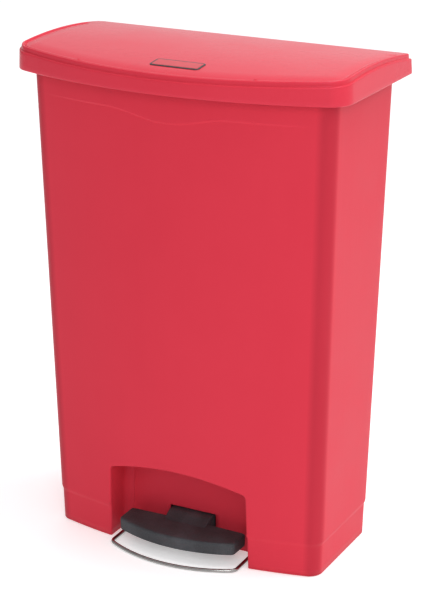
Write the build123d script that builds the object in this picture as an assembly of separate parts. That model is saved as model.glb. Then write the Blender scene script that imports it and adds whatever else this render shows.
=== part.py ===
from build123d import *

import os
from math import atan2, cos, degrees, radians, sin, sqrt, tan

# A slim step-on waste bin, in millimetres. X runs across the bin, the front faces -Y and Z is up.
# The origin is on the floor, under the middle of the lid.

# Overall sizes
width = 570.0
depth = 318.0
height = 826.0

# Lid
lid_bow = 56.5  # how far the middle of the front edge stands ahead of its corners
lid_wall = 4.0
lid_front_radius = 40.0
lid_rear_radius = 13.0
skirt_height = 29.7  # from the skirt's lower edge to the crown's front and rear edges
skirt_draft = 1.2
crown_rise = 13.3
ledge_depth = 7.6  # the step round the top, below the crown
ledge_width = 3.6
groove_inset = 9.0
groove_width = 3.0
groove_depth = 1.6
groove_rear = 105.0
badge_length = 84.0
badge_width = 30.0
badge_corner_radius = 6.0
badge_thickness = 2.0
badge_x = 11.0
badge_y = -107.0
badge_seat = 1.2  # how deep the badge sits in its pocket

# Body
body_wall = 4.0
side_overhang = 23.6  # lid past the body, at the height of the skirt's lower edge
rear_overhang = 10.6
front_overhang = 31.0
body_bow_top = 41.1
body_bow_base = 36.2
side_taper = 18.6  # how much further in the body is at the floor
rear_taper = 19.4
front_taper = 18.0
body_corner_radius = 26.0
panel_recess = 2.0
panel_half_width = 226.0  # where the set-back panel runs out into the front
band_height = 36.5  # the top band, below the lid's lower edge
band_dip = 14.5
band_dip_width = 108.0
base_step_z = 52.0
base_step_depth = 2.0
foot_stand = 1.5  # the shell's lower edge above the floor
inner_floor_z = 64.0
floor_wall = 4.0
rim_above_skirt = 13.0  # the rim stands this far above the lid's lower edge
rim_flange_width = 14.0
rim_flange_rear = 1.0
rim_flange_thickness = 4.0

# Pedal recess
recess_half_width = 128.0
recess_narrowing = 4.0
recess_back_y = -45.0
recess_corner_z = 130.0
recess_middle_z = 149.0
recess_back_radius = 14.0
arm_slot_half_width = 42.0
arm_slot_low_z = 14.0
arm_slot_high_z = 56.0

# Running clearances
pin_clearance = 0.05  # radial, a pin that turns in a hole
seat_clearance = 0.02  # radial, a pin or bush that is held in its seat
fixed_gap = 0.1  # between pieces that are screwed together over a tapered wall
tilt_gap = 0.15  # between a straight screw head and the tapered wall
moving_gap = 1.5  # between flat faces that pass each other
lid_rest_gap = 0.3

# Lid hinge
hinge_y = 133.0
hinge_below_skirt = 13.0
lid_angle = 80.0
hinge_pin_radius = 3.0
hinge_eye_radius = 8.0
hinge_x = 178.0
arm_width = 14.0
arm_bar_half = 7.0
riser_ahead_of_rod = 22.0  # so that the lever's riser clears the rod
arm_riser_half = 7.0
arm_flange_length = 52.0
arm_flange_thickness = 4.0
lug_thickness = 6.0
hinge_plate_thickness = 4.0
hinge_pad_thickness = 4.0
hinge_tab = 12.0
hinge_plate_below = 24.0
hinge_plate_above = 12.0

# Lift rod and the pedal
rod_y = 112.0
rod_radius = 4.0
pedal_y = -22.0
pedal_z = 35.0
pedal_angle = 11.0
pedal_pin_radius = 4.0
pedal_arm_thickness = 5.0
pedal_boss_radius = 9.0
pedal_boss_half_length = 30.0
bush_radius = 6.0
bush_length = 14.0
tongue_half_width = 4.0
tongue_half_height = 7.0
link_pin_radius = 3.0
slot_clearance = 0.35
clevis_ear = 5.0
clevis_radius = 7.0
clevis_web = 6.0
clevis_depth = 19.0  # from the pin down to the clevis web
lever_half_width = 3.0
lever_rim = 5.0

# Tread
tread_front_y = -129.0
tread_bow = 24.0
tread_half_width = 105.0
tread_rear_y = -61.0
tread_rear_half_width = 108.0
tread_low_z = 23.0
tread_high_z = 44.5
neck_rear_y = -38.0
neck_front_y = -72.0
neck_half_width = 39.5
neck_top_z = 54.0

# Base
plate_low_z = 9.0
plate_thickness = 3.0
plate_gap = 1.0
foot_radius = 14.0
foot_inset = 80.0  # from the lid's side to the foot's middle
plate_screw_inset_front = 95.0
plate_screw_inset_rear = 120.0
plate_screw_middle_x = 70.0
bracket_x = 46.0
bracket_thickness = 4.0
bracket_radius = 12.0
bracket_foot = 22.0
loop_radius = 3.0
loop_half_width = 115.0
loop_front_y = -147.5
loop_corner_y = -117.0
loop_corner_radius = 13.0
loop_rear_y = 28.0
loop_tilt = 0.75  # degrees: the legs rise towards the back, where the clamps go under them
clamp_length = 14.0
clamp_places = (-14.0, 14.0)
clamp_strap = 1.0

# Rod cover and damper
cover_half_width = 34.0
cover_ahead_of_rod = 18.0
cover_wall = 3.0
cover_below_hinge = 42.0
cover_tab = 12.0
cover_screw_low_z = 140.0
cover_screw_below_top = 38.0
cover_screw_count = 5
guide_thickness = 12.0
guide_low_z = 112.0
guide_below_cover_top = 16.0
damper_x = 20.0
damper_radius = 8.0
damper_wall = 1.5
damper_clamp_below_guide = 40.0
damper_neck = 42.0  # from the cylinder's top to the clamp, lid closed
damper_piston_place = 40.0  # above the cylinder's foot, lid closed
damper_length = 130.0
damper_rod_radius = 3.0
damper_piston_height = 10.0
damper_clamp_height = 10.0

# Screws
screw_radius = 2.0
screw_head_radius = 4.0
screw_head_height = 2.4
screw_length = 12.0
screw_clearance = 0.15
blind_depth = 2.7  # how far the screws' holes go into the body's wall

# Places that follow from the sizes above
half_width = width / 2
half_depth = depth / 2
skirt_z = height - crown_rise - skirt_height
crown_radius = (half_depth**2 + crown_rise**2) / (2 * crown_rise)
floor_low_z = inner_floor_z - floor_wall
plate_top_z = plate_low_z + plate_thickness
rear_arm = rod_y - pedal_y
rod_travel = 2 * rear_arm * tan(radians(pedal_angle / 2))
arm_riser_y = hinge_y - rod_y + riser_ahead_of_rod  # ahead of the hinge
cover_front_y = rod_y - cover_ahead_of_rod
rim_z = skirt_z + rim_above_skirt
band_line_z = skirt_z - band_height
hinge_z = skirt_z - hinge_below_skirt
cover_top_z = hinge_z - cover_below_hinge
guide_high_z = cover_top_z - guide_below_cover_top
damper_clamp_z = guide_high_z - damper_clamp_below_guide
damper_top_z = damper_clamp_z - damper_neck
damper_low_z = damper_top_z - damper_length
piston_z = damper_low_z + damper_piston_place
foot_pin_z = pedal_z - rod_travel / 2
lever_pin_z = hinge_z - rod_travel / 2
reach = 2 * (width + height)


def bow_plan(half, rear, front, bow, front_radius, rear_radius):
    """An outline with a straight back and sides and an arc for its front."""
    corner = front + bow
    sides = Polyline((-half, corner), (-half, rear), (half, rear), (half, corner))
    plan = make_face(sides + ThreePointArc((half, corner), (0, front), (-half, corner)))
    ends = plan.vertices().group_by(Axis.Y)
    plan = fillet(ends[-1], rear_radius)
    ends = plan.vertices().filter_by(lambda v: abs(v.Y - corner) < 1e-6)
    return fillet(ends, front_radius)


def inset_bow(half, bow, inset):
    """The bow of the arc that lies a given distance inside another."""
    arc = (half**2 + bow**2) / (2 * bow) - inset
    return arc - sqrt(arc**2 - (half - inset) ** 2)


def lid_plan(inset):
    return bow_plan(
        half_width - inset,
        half_depth - inset,
        -half_depth + inset,
        inset_bow(half_width, lid_bow, inset),
        lid_front_radius - inset,
        max(lid_rear_radius - inset, 2.0),
    )


def body_plan(z, inset, flatter=0.0):
    """The body's outline at a height. A flatter one has less bow but the same corners."""
    down = 1 - z / skirt_z
    half = half_width - side_overhang - side_taper * down
    rear = half_depth - rear_overhang - rear_taper * down
    front = -half_depth + front_overhang + front_taper * down
    bow = body_bow_top + (body_bow_base - body_bow_top) * down
    return bow_plan(
        half - inset,
        rear - inset,
        front + inset + flatter,
        inset_bow(half, bow, inset) - flatter,
        body_corner_radius - inset,
        body_corner_radius - inset,
    )


def body_core(inset, flatter=0.0):
    """The tapered body as a solid, from the floor to the rim."""
    sections = [Pos(0, 0, z) * body_plan(z, inset, flatter) for z in (0.0, rim_z)]
    return loft(sections, ruled=True)


def between(low, high):
    """A box between two corners."""
    size = [b - a for a, b in zip(low, high)]
    middle = [(a + b) / 2 for a, b in zip(low, high)]
    return Pos(*middle) * Box(*size)


def slab(low_z, high_z):
    return between((-reach, -reach, low_z), (reach, reach, high_z))


def crown(drop):
    """Everything under the lid's crown, lowered by a distance."""
    return Pos(0, 0, height - crown_radius) * Rot(0, 90, 0) * Cylinder(crown_radius - drop, reach)


def crown_height(y, drop=0.0):
    return height - crown_radius + sqrt((crown_radius - drop) ** 2 - y**2)


def ring(outer, inner, length):
    return Cylinder(outer, length) - Cylinder(inner, length)


def screw(length=screw_length):
    """A pan-head screw that points down, with the underside of its head at the origin."""
    head = Pos(0, 0, screw_head_height / 2) * Cylinder(screw_head_radius, screw_head_height)
    rim = head.edges().group_by(Axis.Z)[-1]
    head = fillet(rim, screw_head_height * 0.45)
    slot = Pos(0, 0, screw_head_height) * (Box(4.6, 1.0, 2.0) + Box(1.0, 4.6, 2.0))
    return head - slot + Pos(0, 0, -length / 2) * Cylinder(screw_radius, length)


def screw_hole(length, radius=screw_radius + screw_clearance):
    """A round hole that points down from the origin."""
    return Pos(0, 0, -length / 2) * Cylinder(radius, length)


def wall_hole(x, z, face_y, depth):
    """A blind hole into the rear wall from a face that looks forward."""
    seam_up = Rot(90, 0, 0) * Rot(0, 0, 90)
    return Pos(x, face_y - 1, z) * seam_up * screw_hole(depth + 1)


def yz_plate(points, half_thickness, x=0.0):
    """A flat plate with an outline in Y and Z, centred on x."""
    wire = Polyline(*[(0, y, z) for y, z in points], close=True)
    return Pos(x - half_thickness, 0, 0) * extrude(make_face(wire), amount=2 * half_thickness, dir=(1, 0, 0))


def cross_cylinder(y, z, radius, length, x=0.0):
    """A cylinder along X."""
    return Pos(x, y, z) * Rot(0, 90, 0) * Cylinder(radius, length)


def track(points, radius, length):
    """The space that a pin across X sweeps along a list of places in Y and Z."""
    shape = cross_cylinder(*points[0], radius, length)
    for (y0, z0), (y1, z1) in zip(points, points[1:]):
        run = sqrt((y1 - y0) ** 2 + (z1 - z0) ** 2)
        if run > pin_clearance:
            turn = degrees(atan2(z1 - z0, y1 - y0))
            bridge = Pos(0, (y0 + y1) / 2, (z0 + z1) / 2) * Rot(turn, 0, 0) * Box(length, run, 2 * radius)
            shape = shape + bridge + cross_cylinder(y1, z1, radius, length)
    return shape


def pin_places(centre, start_z, turn_angle, steps=8):
    """Where the rising pin stands in the frame of a part that turns about a centre."""
    places = []
    for step in range(steps + 1):
        share = step / steps
        back = radians(-turn_angle * share)
        y = rod_y - centre[0]
        z = start_z + rod_travel * share - centre[1]
        places.append(
            (
                centre[0] + y * cos(back) - z * sin(back),
                centre[1] + y * sin(back) + z * cos(back),
            )
        )
    return places


def panel_front_plan(z):
    """Everything ahead of the set-back panel at a height."""
    down = 1 - z / skirt_z
    half = half_width - side_overhang - side_taper * down
    front = -half_depth + front_overhang + front_taper * down
    bow = body_bow_top + (body_bow_base - body_bow_top) * down
    arc = (half**2 + bow**2) / (2 * bow)
    bow_here = arc - sqrt(arc**2 - panel_half_width**2) - panel_recess
    flat_arc = (panel_half_width**2 + bow_here**2) / (2 * bow_here)
    side = front + panel_recess + flat_arc - sqrt(flat_arc**2 - half**2)
    box = Polyline((half, side), (half, -depth), (-half, -depth), (-half, side))
    return make_face(box + ThreePointArc((-half, side), (0, front + panel_recess), (half, side)))


outer_core = body_core(0.0)
inner_core = body_core(body_wall, flatter=panel_recess)
base_core = body_core(body_wall + base_step_depth, flatter=panel_recess)
fitted_core = body_core(body_wall + fixed_gap)


def wall_inside_y(z):
    """The rear wall's inner face at a height."""
    return half_depth - rear_overhang - body_wall - rear_taper * (1 - z / skirt_z)


def front_face_y(x, z, inset=0.0):
    """The body's bowed front at a place across and a height."""
    down = 1 - z / skirt_z
    half = half_width - side_overhang - side_taper * down
    front = -half_depth + front_overhang + front_taper * down
    bow = body_bow_top + (body_bow_base - body_bow_top) * down
    arc = (half**2 + bow**2) / (2 * bow)
    return front + arc - sqrt((arc - inset) ** 2 - x**2)


# The pedal recess and everything that is fixed to the base


def recess_block(grow=0.0):
    """The space of the pedal recess, or that space with the wall round it."""
    low = -20.0
    base = recess_half_width + grow
    top = recess_half_width - recess_narrowing + grow
    corner = recess_corner_z + grow
    middle = recess_middle_z + grow
    profile = Polyline((-top, corner), (-base, low), (base, low), (top, corner))
    arch = ThreePointArc((top, corner), (0, middle), (-top, corner))
    face = make_face(Plane.XZ * (profile + arch))
    block = Pos(0, recess_back_y + grow, 0) * extrude(face, amount=half_depth, dir=(0, -1, 0))
    back = block.faces().sort_by(Axis.Y)[-1]
    uprights = back.edges().filter_by(lambda e: abs(e.tangent_at(0).Z) > 0.9)
    return fillet(uprights, recess_back_radius + grow)


recess = recess_block()
recess_skin = recess_block(body_wall)

arm_slot = between(
    (-arm_slot_half_width, recess_back_y - 30, arm_slot_low_z),
    (arm_slot_half_width, recess_back_y + 3 * body_wall, arm_slot_high_z),
)

plate_screw_places = [
    (side * x, y)
    for side in (-1, 1)
    for x, y in (
        (half_width - plate_screw_inset_front, recess_back_y - 3.0),
        (half_width - plate_screw_inset_rear, rod_y - 20.0),
        (plate_screw_middle_x, rod_y - 6.0),
    )
]
foot_places = [
    (side * (half_width - foot_inset), y) for side in (-1, 1) for y in (recess_back_y - 17.0, rod_y - 16.0)
]
bracket_screw_places = [(side * (bracket_x + 14.0), pedal_y + dy) for side in (-1, 1) for dy in (-7.0, 7.0)]


def base_plate_solid():
    inset = body_wall + base_step_depth + plate_gap
    outline = extrude(body_plan(plate_low_z, inset, flatter=panel_recess), amount=plate_thickness)
    plate = Pos(0, 0, plate_low_z) * outline - recess_block(body_wall + plate_gap)
    for x, y in plate_screw_places:
        plate -= Pos(x, y, plate_top_z) * screw_hole(2 * plate_thickness)
    for x, y in bracket_screw_places:
        plate -= Pos(x, y, plate_top_z) * screw_hole(2 * plate_thickness)
    for x, y in clamp_screw_places():
        plate -= Pos(x, y, plate_top_z) * screw_hole(2 * plate_thickness)
    return plate


def clamp_screw_places():
    return [(side * (loop_half_width + dx), y) for side in (-1, 1) for y in clamp_places for dx in (-11.0, 11.0)]


loop_place = Pos(0, loop_front_y, loop_radius) * Rot(loop_tilt, 0, 0) * Pos(0, -loop_front_y, 0)


def loop_height(y):
    """The height of the loop's centreline above the floor."""
    return loop_radius + (y - loop_front_y) * sin(radians(loop_tilt))


def floor_loop_solid():
    """Two legs that run back under the base plate, joined by a bowed front."""
    side = loop_half_width
    legs = (
        Line((-side, loop_rear_y), (-side, loop_corner_y))
        + ThreePointArc((-side, loop_corner_y), (0, loop_front_y), (side, loop_corner_y))
        + Line((side, loop_corner_y), (side, loop_rear_y))
    )
    outside = make_face(Wire([*legs.edges(), Edge.make_line((side, loop_rear_y), (-side, loop_rear_y))]))
    corners = outside.vertices().filter_by(lambda v: abs(v.Y - loop_corner_y) < 1e-6)
    rounded = fillet(corners, loop_corner_radius)
    path_edges = rounded.edges().filter_by(lambda e: e.center().Y < loop_rear_y - 1e-6)
    start = Plane((-side, loop_rear_y, 0), z_dir=(0, -1, 0))
    return loop_place * sweep(start * Circle(loop_radius), path=Wire(path_edges))


def loop_clamp_solids():
    """Straps under the loop's legs that hold them up against the base plate."""
    clamps = []
    for side in (-1, 1):
        for y in clamp_places:
            x = side * loop_half_width
            low = loop_height(y) - loop_radius - clamp_strap
            near = y - clamp_length / 2
            far = y + clamp_length / 2
            wing = between((x - 16, near, plate_low_z - 2.5), (x + 16, far, plate_low_z))
            clamp = wing + between((x - 6, near, low), (x + 6, far, plate_low_z))
            tunnel = Pos(x, 0, 0) * Rot(90, 0, 0) * Cylinder(loop_radius + seat_clearance, width)
            clamp -= loop_place * tunnel
            mouth_low = (x - loop_radius, near - 1, loop_height(y))
            clamp -= between(mouth_low, (x + loop_radius, far + 1, plate_low_z + 1))
            for dx in (-11.0, 11.0):
                clamp -= Pos(x + dx, y, plate_low_z) * screw_hole(2 * plate_low_z)
            clamps.append(clamp)
    return clamps


def pivot_bracket_solid(side):
    """An angle piece whose upright carries one end of the pedal's pivot pin."""
    inner = bracket_x
    outer = bracket_x + bracket_thickness
    near = pedal_y - bracket_radius
    far = pedal_y + bracket_radius
    upright = between((inner, near, plate_top_z), (outer, far, pedal_z))
    upright += cross_cylinder(pedal_y, pedal_z, bracket_radius, bracket_thickness, (inner + outer) / 2)
    foot = between((inner, near, plate_top_z), (bracket_x + bracket_foot, far, plate_top_z + 3))
    bracket = upright + foot
    bracket -= cross_cylinder(pedal_y, pedal_z, pedal_pin_radius + seat_clearance, 60.0, inner)
    for x, y in bracket_screw_places:
        bracket -= Pos(x, y, plate_top_z + 5) * screw_hole(10.0)
    return bracket if side > 0 else mirror(bracket, about=Plane.YZ)


# The outer shell


def plate_boss(x, y):
    boss = between((x - 7, y - 7, plate_top_z), (x + 7, y + 7, inner_floor_z - 1))
    return boss - Pos(x, y, plate_top_z + 20) * screw_hole(20.0)


def hinge_pad(side):
    """A thickened patch of the rear wall that a hinge block is screwed to."""
    half = hinge_plate_half_width() + 2
    x = side * hinge_x
    y = wall_inside_y(hinge_z) - hinge_pad_thickness
    low = (x - half, y, hinge_z - hinge_plate_below - 2)
    pad = between(low, (x + half, y + 3 * body_wall, hinge_z + hinge_plate_above + 2)) & outer_core
    return pad - eye_space(x)


def eye_space(x):
    """The space behind the lid arm's eye, open above for the arm's bar when the lid is up."""
    half = arm_width / 2 + moving_gap
    radius = hinge_eye_radius + moving_gap
    top = hinge_z + hinge_plate_above + 2 * hinge_pad_thickness
    above = between((x - half, hinge_y - radius, hinge_z), (x + half, hinge_y + radius, top))
    return cross_cylinder(hinge_y, hinge_z, radius, 2 * half, x) + above


def hinge_plate_half_width():
    return arm_width / 2 + moving_gap + lug_thickness + hinge_tab


def cover_screw_heights():
    high = cover_top_z - cover_screw_below_top
    step = (high - cover_screw_low_z) / (cover_screw_count - 1)
    return [cover_screw_low_z + step * i for i in range(cover_screw_count)]


def outer_shell_solid():
    shell = outer_core & slab(foot_stand, rim_z)
    # The front panel under the band is set back, most of all in the middle.
    edge = Spline(
        (-band_dip_width, 0, band_line_z),
        (0, 0, band_line_z - band_dip),
        (band_dip_width, 0, band_line_z),
        tangents=[(1, 0, 0), (1, 0, 0)],
    )
    sides = Polyline(
        (band_dip_width, 0, band_line_z),
        (half_width, 0, band_line_z),
        (half_width, 0, -10),
        (-half_width, 0, -10),
        (-half_width, 0, band_line_z),
        (-band_dip_width, 0, band_line_z),
    )
    panel = Pos(0, -60, 0) * extrude(make_face(edge + sides), amount=half_depth, dir=(0, -1, 0))
    shell -= panel & loft([Pos(0, 0, z) * panel_front_plan(z) for z in (0.0, rim_z)], ruled=True)
    # The lowest part is set in all round.
    shell -= slab(-10, base_step_z) - body_core(base_step_depth, flatter=panel_recess)
    # The rim's flange turns outwards under the lid.
    rim = body_rim_plan()
    shell += Pos(0, 0, rim_z - rim_flange_thickness) * extrude(rim, amount=rim_flange_thickness)
    # The waste space above the inner floor, and the pedal's space below it.
    shell -= (inner_core & slab(inner_floor_z, rim_z + 10)) - recess_skin
    shell -= (base_core & slab(0, floor_low_z)) - recess_skin
    shell -= recess
    shell -= arm_slot
    # The rod's way through the inner floor, under its cover.
    shell -= between(
        (-cover_half_width + 16, cover_front_y + cover_wall + 2, floor_low_z - 5),
        (cover_half_width - 16, rod_y + clevis_radius + moving_gap, inner_floor_z + 5),
    )
    shell += [plate_boss(x, y) for x, y in plate_screw_places] + [hinge_pad(side) for side in (-1, 1)]
    # A notch in the recess's back wall for each leg of the loop.
    notches = [
        between(
            (side * loop_half_width - 4, recess_back_y - 20, 0),
            (side * loop_half_width + 4, recess_back_y + 3 * body_wall, plate_low_z),
        )
        for side in (-1, 1)
    ]
    pad_face = wall_inside_y(hinge_z) - hinge_pad_thickness
    holes = [
        wall_hole(x, z, pad_face, hinge_pad_thickness + blind_depth)
        for side in (-1, 1)
        for x, z in hinge_screw_places(side)
    ]
    holes += [wall_hole(x, z, wall_inside_y(z), blind_depth) for x, z in cover_screw_places()]
    return shell - notches - holes


def body_rim_plan():
    top = body_plan(rim_z, 0.0)
    box = top.bounding_box()
    return bow_plan(
        box.max.X + rim_flange_width,
        box.max.Y + rim_flange_rear,
        box.min.Y - rim_flange_width,
        inset_bow(box.max.X, body_bow_top, -rim_flange_width),
        body_corner_radius,
        body_corner_radius,
    )


def hinge_screw_places(side):
    across = hinge_plate_half_width() - hinge_tab / 2
    return [(side * hinge_x + dx * across, hinge_z + dz) for dx in (-1, 1) for dz in (-17.0, 5.0)]


def cover_screw_places():
    return [
        (side * (cover_half_width + cover_tab / 2), z) for side in (-1, 1) for z in cover_screw_heights()
    ]


# The hinge


def hinge_block_solid(side):
    """A plate on the rear wall with two lugs for the hinge pin."""
    x = side * hinge_x
    half = hinge_plate_half_width()
    face_y = wall_inside_y(hinge_z) - hinge_pad_thickness - fixed_gap
    plate_y = face_y - hinge_plate_thickness
    block = between(
        (x - half, plate_y, hinge_z - hinge_plate_below), (x + half, face_y, hinge_z + hinge_plate_above)
    )
    for turn in (-1, 1):
        lug_x = x + turn * (arm_width / 2 + moving_gap + lug_thickness / 2)
        ear = cross_cylinder(hinge_y, hinge_z, 10.0, lug_thickness, lug_x)
        web = (lug_x - lug_thickness / 2, hinge_y, hinge_z - 10)
        ear += between(web, (lug_x + lug_thickness / 2, face_y, hinge_z + 10))
        block += ear & between((-reach, -reach, 0), (reach, face_y, reach))
    block -= eye_space(x)
    block -= cross_cylinder(hinge_y, hinge_z, hinge_pin_radius + seat_clearance, 80.0, x)
    for screw_x, z in hinge_screw_places(side):
        block -= wall_hole(screw_x, z, plate_y, 3 * hinge_plate_thickness)
    return block


def arm_profile(eye_y, eye_z, bar_half, top_z):
    """The gooseneck's outline: forward from the eye, then up to the lid."""
    front = hinge_y - arm_riser_y - arm_riser_half
    back = hinge_y - arm_riser_y + arm_riser_half
    return [
        (eye_y, eye_z + bar_half),
        (back, eye_z + bar_half),
        (back, top_z),
        (front, top_z),
        (front, eye_z - bar_half),
        (eye_y, eye_z - bar_half),
    ]


def lid_boss_low():
    """Where the lid's bosses end and the arms' flanges start."""
    return crown_height(hinge_y - arm_riser_y, lid_wall) - 13.0


def flange_screw_places(x):
    middle = hinge_y - arm_riser_y
    return [(x, middle - 19.0), (x, middle + 17.0)]


def hinge_arm_solid(side):
    top = lid_boss_low()
    arm = yz_plate(arm_profile(hinge_y, hinge_z, arm_bar_half, top), arm_width / 2)
    arm += cross_cylinder(hinge_y, hinge_z, hinge_eye_radius, arm_width)
    middle = hinge_y - arm_riser_y
    flange = between(
        (-arm_width / 2, middle - arm_flange_length / 2, top - arm_flange_thickness),
        (arm_width / 2, middle + arm_flange_length / 2 - 2, top),
    )
    arm += flange
    arm -= cross_cylinder(hinge_y, hinge_z, hinge_pin_radius + pin_clearance, 2 * arm_width)
    for _, y in flange_screw_places(0):
        arm -= Pos(0, y, top) * screw_hole(2 * arm_flange_thickness)
    return Pos(side * hinge_x, 0, 0) * arm


lever_places = pin_places((hinge_y, hinge_z), lever_pin_z, -lid_angle)
foot_places_in_arm = pin_places((pedal_y, pedal_z), foot_pin_z, pedal_angle)


def lid_lever_solid():
    """The gooseneck lever whose curved slot takes the lift rod's upper pin."""
    top = lid_boss_low()
    slot_radius = link_pin_radius + slot_clearance
    eye_z = sum(z for _, z in lever_places) / len(lever_places)
    plate = yz_plate(arm_profile(lever_places[0][0], eye_z, arm_bar_half, top), lever_half_width)
    plate += track(lever_places, slot_radius + lever_rim, 2 * lever_half_width)
    middle = hinge_y - arm_riser_y
    plate += between(
        (-arm_width / 2, middle - arm_flange_length / 2, top - arm_flange_thickness),
        (arm_width / 2, middle + arm_flange_length / 2 - 2, top),
    )
    plate -= track(lever_places, slot_radius, 4 * lever_half_width)
    for _, y in flange_screw_places(0):
        plate -= Pos(0, y, top) * screw_hole(2 * arm_flange_thickness)
    return plate


# The lid


def bumper_places():
    y = front_face_y(150.0, skirt_z) - rim_flange_width * 0.55
    x = half_width - side_overhang + rim_flange_width * 0.5
    return [(-150.0, y), (150.0, y), (-x, 40.0), (x, 40.0)]


bumper_radius = 5.0
bumper_height = 4.0
bumper_low_z = rim_z + lid_rest_gap


def lid_boss(x, y):
    top = crown_height(y, lid_wall * 0.5)
    return between((x - 6, y - 6, lid_boss_low()), (x + 6, y + 6, top)) - Pos(
        x, y, lid_boss_low() + 10
    ) * screw_hole(20.0)


def lid_shell_solid():
    sections = [Pos(0, 0, skirt_z) * lid_plan(0.0), Pos(0, 0, height) * lid_plan(skirt_draft)]
    skirt = loft(sections, ruled=True) & crown(ledge_depth)
    top_inset = skirt_draft + ledge_width
    top = Pos(0, 0, skirt_z) * extrude(lid_plan(top_inset), amount=height)
    shell = skirt + (top & crown(0.0) & slab(skirt_z, height + 1))
    # The space under the lid.
    inner_low = Pos(0, 0, skirt_z - 10) * extrude(lid_plan(lid_wall), amount=height)
    inner_high = Pos(0, 0, skirt_z - 10) * extrude(lid_plan(top_inset + lid_wall), amount=height)
    shell -= inner_low & crown(ledge_depth + lid_wall)
    shell -= inner_high & crown(lid_wall)
    # The groove inside the raised edge.
    outside = lid_plan(groove_inset)
    inside = lid_plan(groove_inset + groove_width)
    strip = Pos(0, 0, skirt_z) * extrude(outside - inside, amount=height)
    strip -= crown(groove_depth)
    shell -= strip & between((-reach, -reach, 0), (reach, groove_rear, reach))
    for x in (-hinge_x, 0.0, hinge_x):
        for place in flange_screw_places(x):
            shell += lid_boss(*place)
    for x, y in bumper_places():
        post = Pos(x, y, 0) * Cylinder(bumper_radius, 2 * reach)
        shell += post & crown(lid_wall * 0.5) & slab(bumper_low_z + bumper_height, height) & prism_in_lid()
    return shell - badge_solid(badge_seat + 10.0, 0.3)


def prism_in_lid():
    return Pos(0, 0, skirt_z) * extrude(lid_plan(2.5), amount=height)


def badge_solid(thickness, grow=0.0):
    """A plate that lies on the crown; a thick one is its pocket."""
    low = badge_thickness - badge_seat
    outline = RectangleRounded(badge_length + 2 * grow, badge_width + 2 * grow, badge_corner_radius + grow)
    block = Pos(badge_x, badge_y, skirt_z) * extrude(outline, amount=height)
    raised = thickness - badge_seat if thickness > badge_thickness else low
    return block & crown(-raised) - crown(badge_seat)


# The lift rod, its clevises and the damper


def clevis_solid(pin_z, half_gap):
    """A fork on the rod, open upwards, with its pin across it."""
    outer = half_gap + clevis_ear
    web_high = pin_z - clevis_depth
    fork = between((-outer, rod_y - clevis_radius, web_high - clevis_web), (outer, rod_y + clevis_radius, pin_z))
    fork += cross_cylinder(rod_y, pin_z, clevis_radius, 2 * outer)
    fork -= between((-half_gap, rod_y - 20, web_high), (half_gap, rod_y + 20, pin_z + 20))
    return fork


head_gap = lever_half_width + moving_gap / 2
foot_gap = tongue_half_width + moving_gap / 2


def head_clevis_solid():
    fork = clevis_solid(lever_pin_z, head_gap)
    fork -= cross_cylinder(rod_y, lever_pin_z, link_pin_radius + seat_clearance, 60.0)
    return fork - Pos(0, rod_y, lever_pin_z) * Cylinder(rod_radius + seat_clearance, 200.0)


def foot_clevis_solid():
    """The lower fork opens downwards."""
    fork = mirror(clevis_solid(-foot_pin_z, foot_gap), about=Plane.XY)
    fork -= cross_cylinder(rod_y, foot_pin_z, link_pin_radius + seat_clearance, 60.0)
    return fork - Pos(0, rod_y, foot_pin_z) * Cylinder(rod_radius + seat_clearance, 200.0)


def lift_rod_solid():
    low = foot_pin_z + clevis_depth
    high = lever_pin_z - clevis_depth
    return Pos(0, rod_y, (low + high) / 2) * Cylinder(rod_radius, high - low)


def link_pin_solid(z, half_gap):
    length = 2 * (half_gap + clevis_ear) + 3.0
    return cross_cylinder(rod_y, z, link_pin_radius, length)


def rod_guide_solid(low_z):
    """A block on the rear wall that the rod slides through, beside the damper."""
    left = -cover_half_width + cover_wall + fixed_gap
    low = (left, cover_front_y + cover_wall + fixed_gap, low_z)
    guide = between(low, (9.0, reach, low_z + guide_thickness)) & fitted_core
    return guide - Pos(0, rod_y, low_z) * Cylinder(rod_radius + pin_clearance, 100.0)


def rod_cover_solid():
    """A channel with two tabs, closed by the rear wall."""
    front = cover_front_y
    face = between((-cover_half_width, front, inner_floor_z), (cover_half_width, reach, cover_top_z))
    space = between(
        (-cover_half_width + cover_wall, front + cover_wall, 0),
        (cover_half_width - cover_wall, reach, reach),
    )
    outer = cover_half_width + cover_tab
    behind = body_core(body_wall + fixed_gap + cover_wall)
    tabs = between((-outer, front, inner_floor_z), (outer, reach, cover_top_z)) - behind
    cover = ((face + tabs) - space) & fitted_core & slab(inner_floor_z + fixed_gap, cover_top_z)
    return cover - [
        wall_hole(x, z, wall_inside_y(z) - 3 * cover_wall, 6 * cover_wall) for x, z in cover_screw_places()
    ]



def damper_cylinder_solid():
    tube = Pos(damper_x, rod_y, damper_low_z + damper_length / 2) * Cylinder(damper_radius, damper_length)
    bore_length = damper_length - 8.0
    bore = Cylinder(damper_radius - damper_wall, bore_length)
    tube -= Pos(damper_x, rod_y, damper_low_z + damper_length / 2) * bore
    return tube - Pos(damper_x, rod_y, damper_top_z) * Cylinder(damper_rod_radius + pin_clearance, 20.0)


def damper_piston_rod_solid():
    top = damper_clamp_z + damper_clamp_height
    stem = Pos(damper_x, rod_y, (piston_z + top) / 2) * Cylinder(damper_rod_radius, top - piston_z)
    piston = Cylinder(damper_radius - damper_wall - pin_clearance, damper_piston_height)
    return stem + Pos(damper_x, rod_y, piston_z) * piston


def damper_clamp_solid():
    """A block that ties the damper's rod to the lift rod."""
    middle = damper_clamp_z + damper_clamp_height / 2
    block = between((-8, rod_y - 8, damper_clamp_z), (damper_x + 7, rod_y + 8, damper_clamp_z + damper_clamp_height))
    block -= Pos(0, rod_y, middle) * Cylinder(rod_radius + seat_clearance, 40.0)
    return block - Pos(damper_x, rod_y, middle) * Cylinder(damper_rod_radius + seat_clearance, 40.0)


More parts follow.
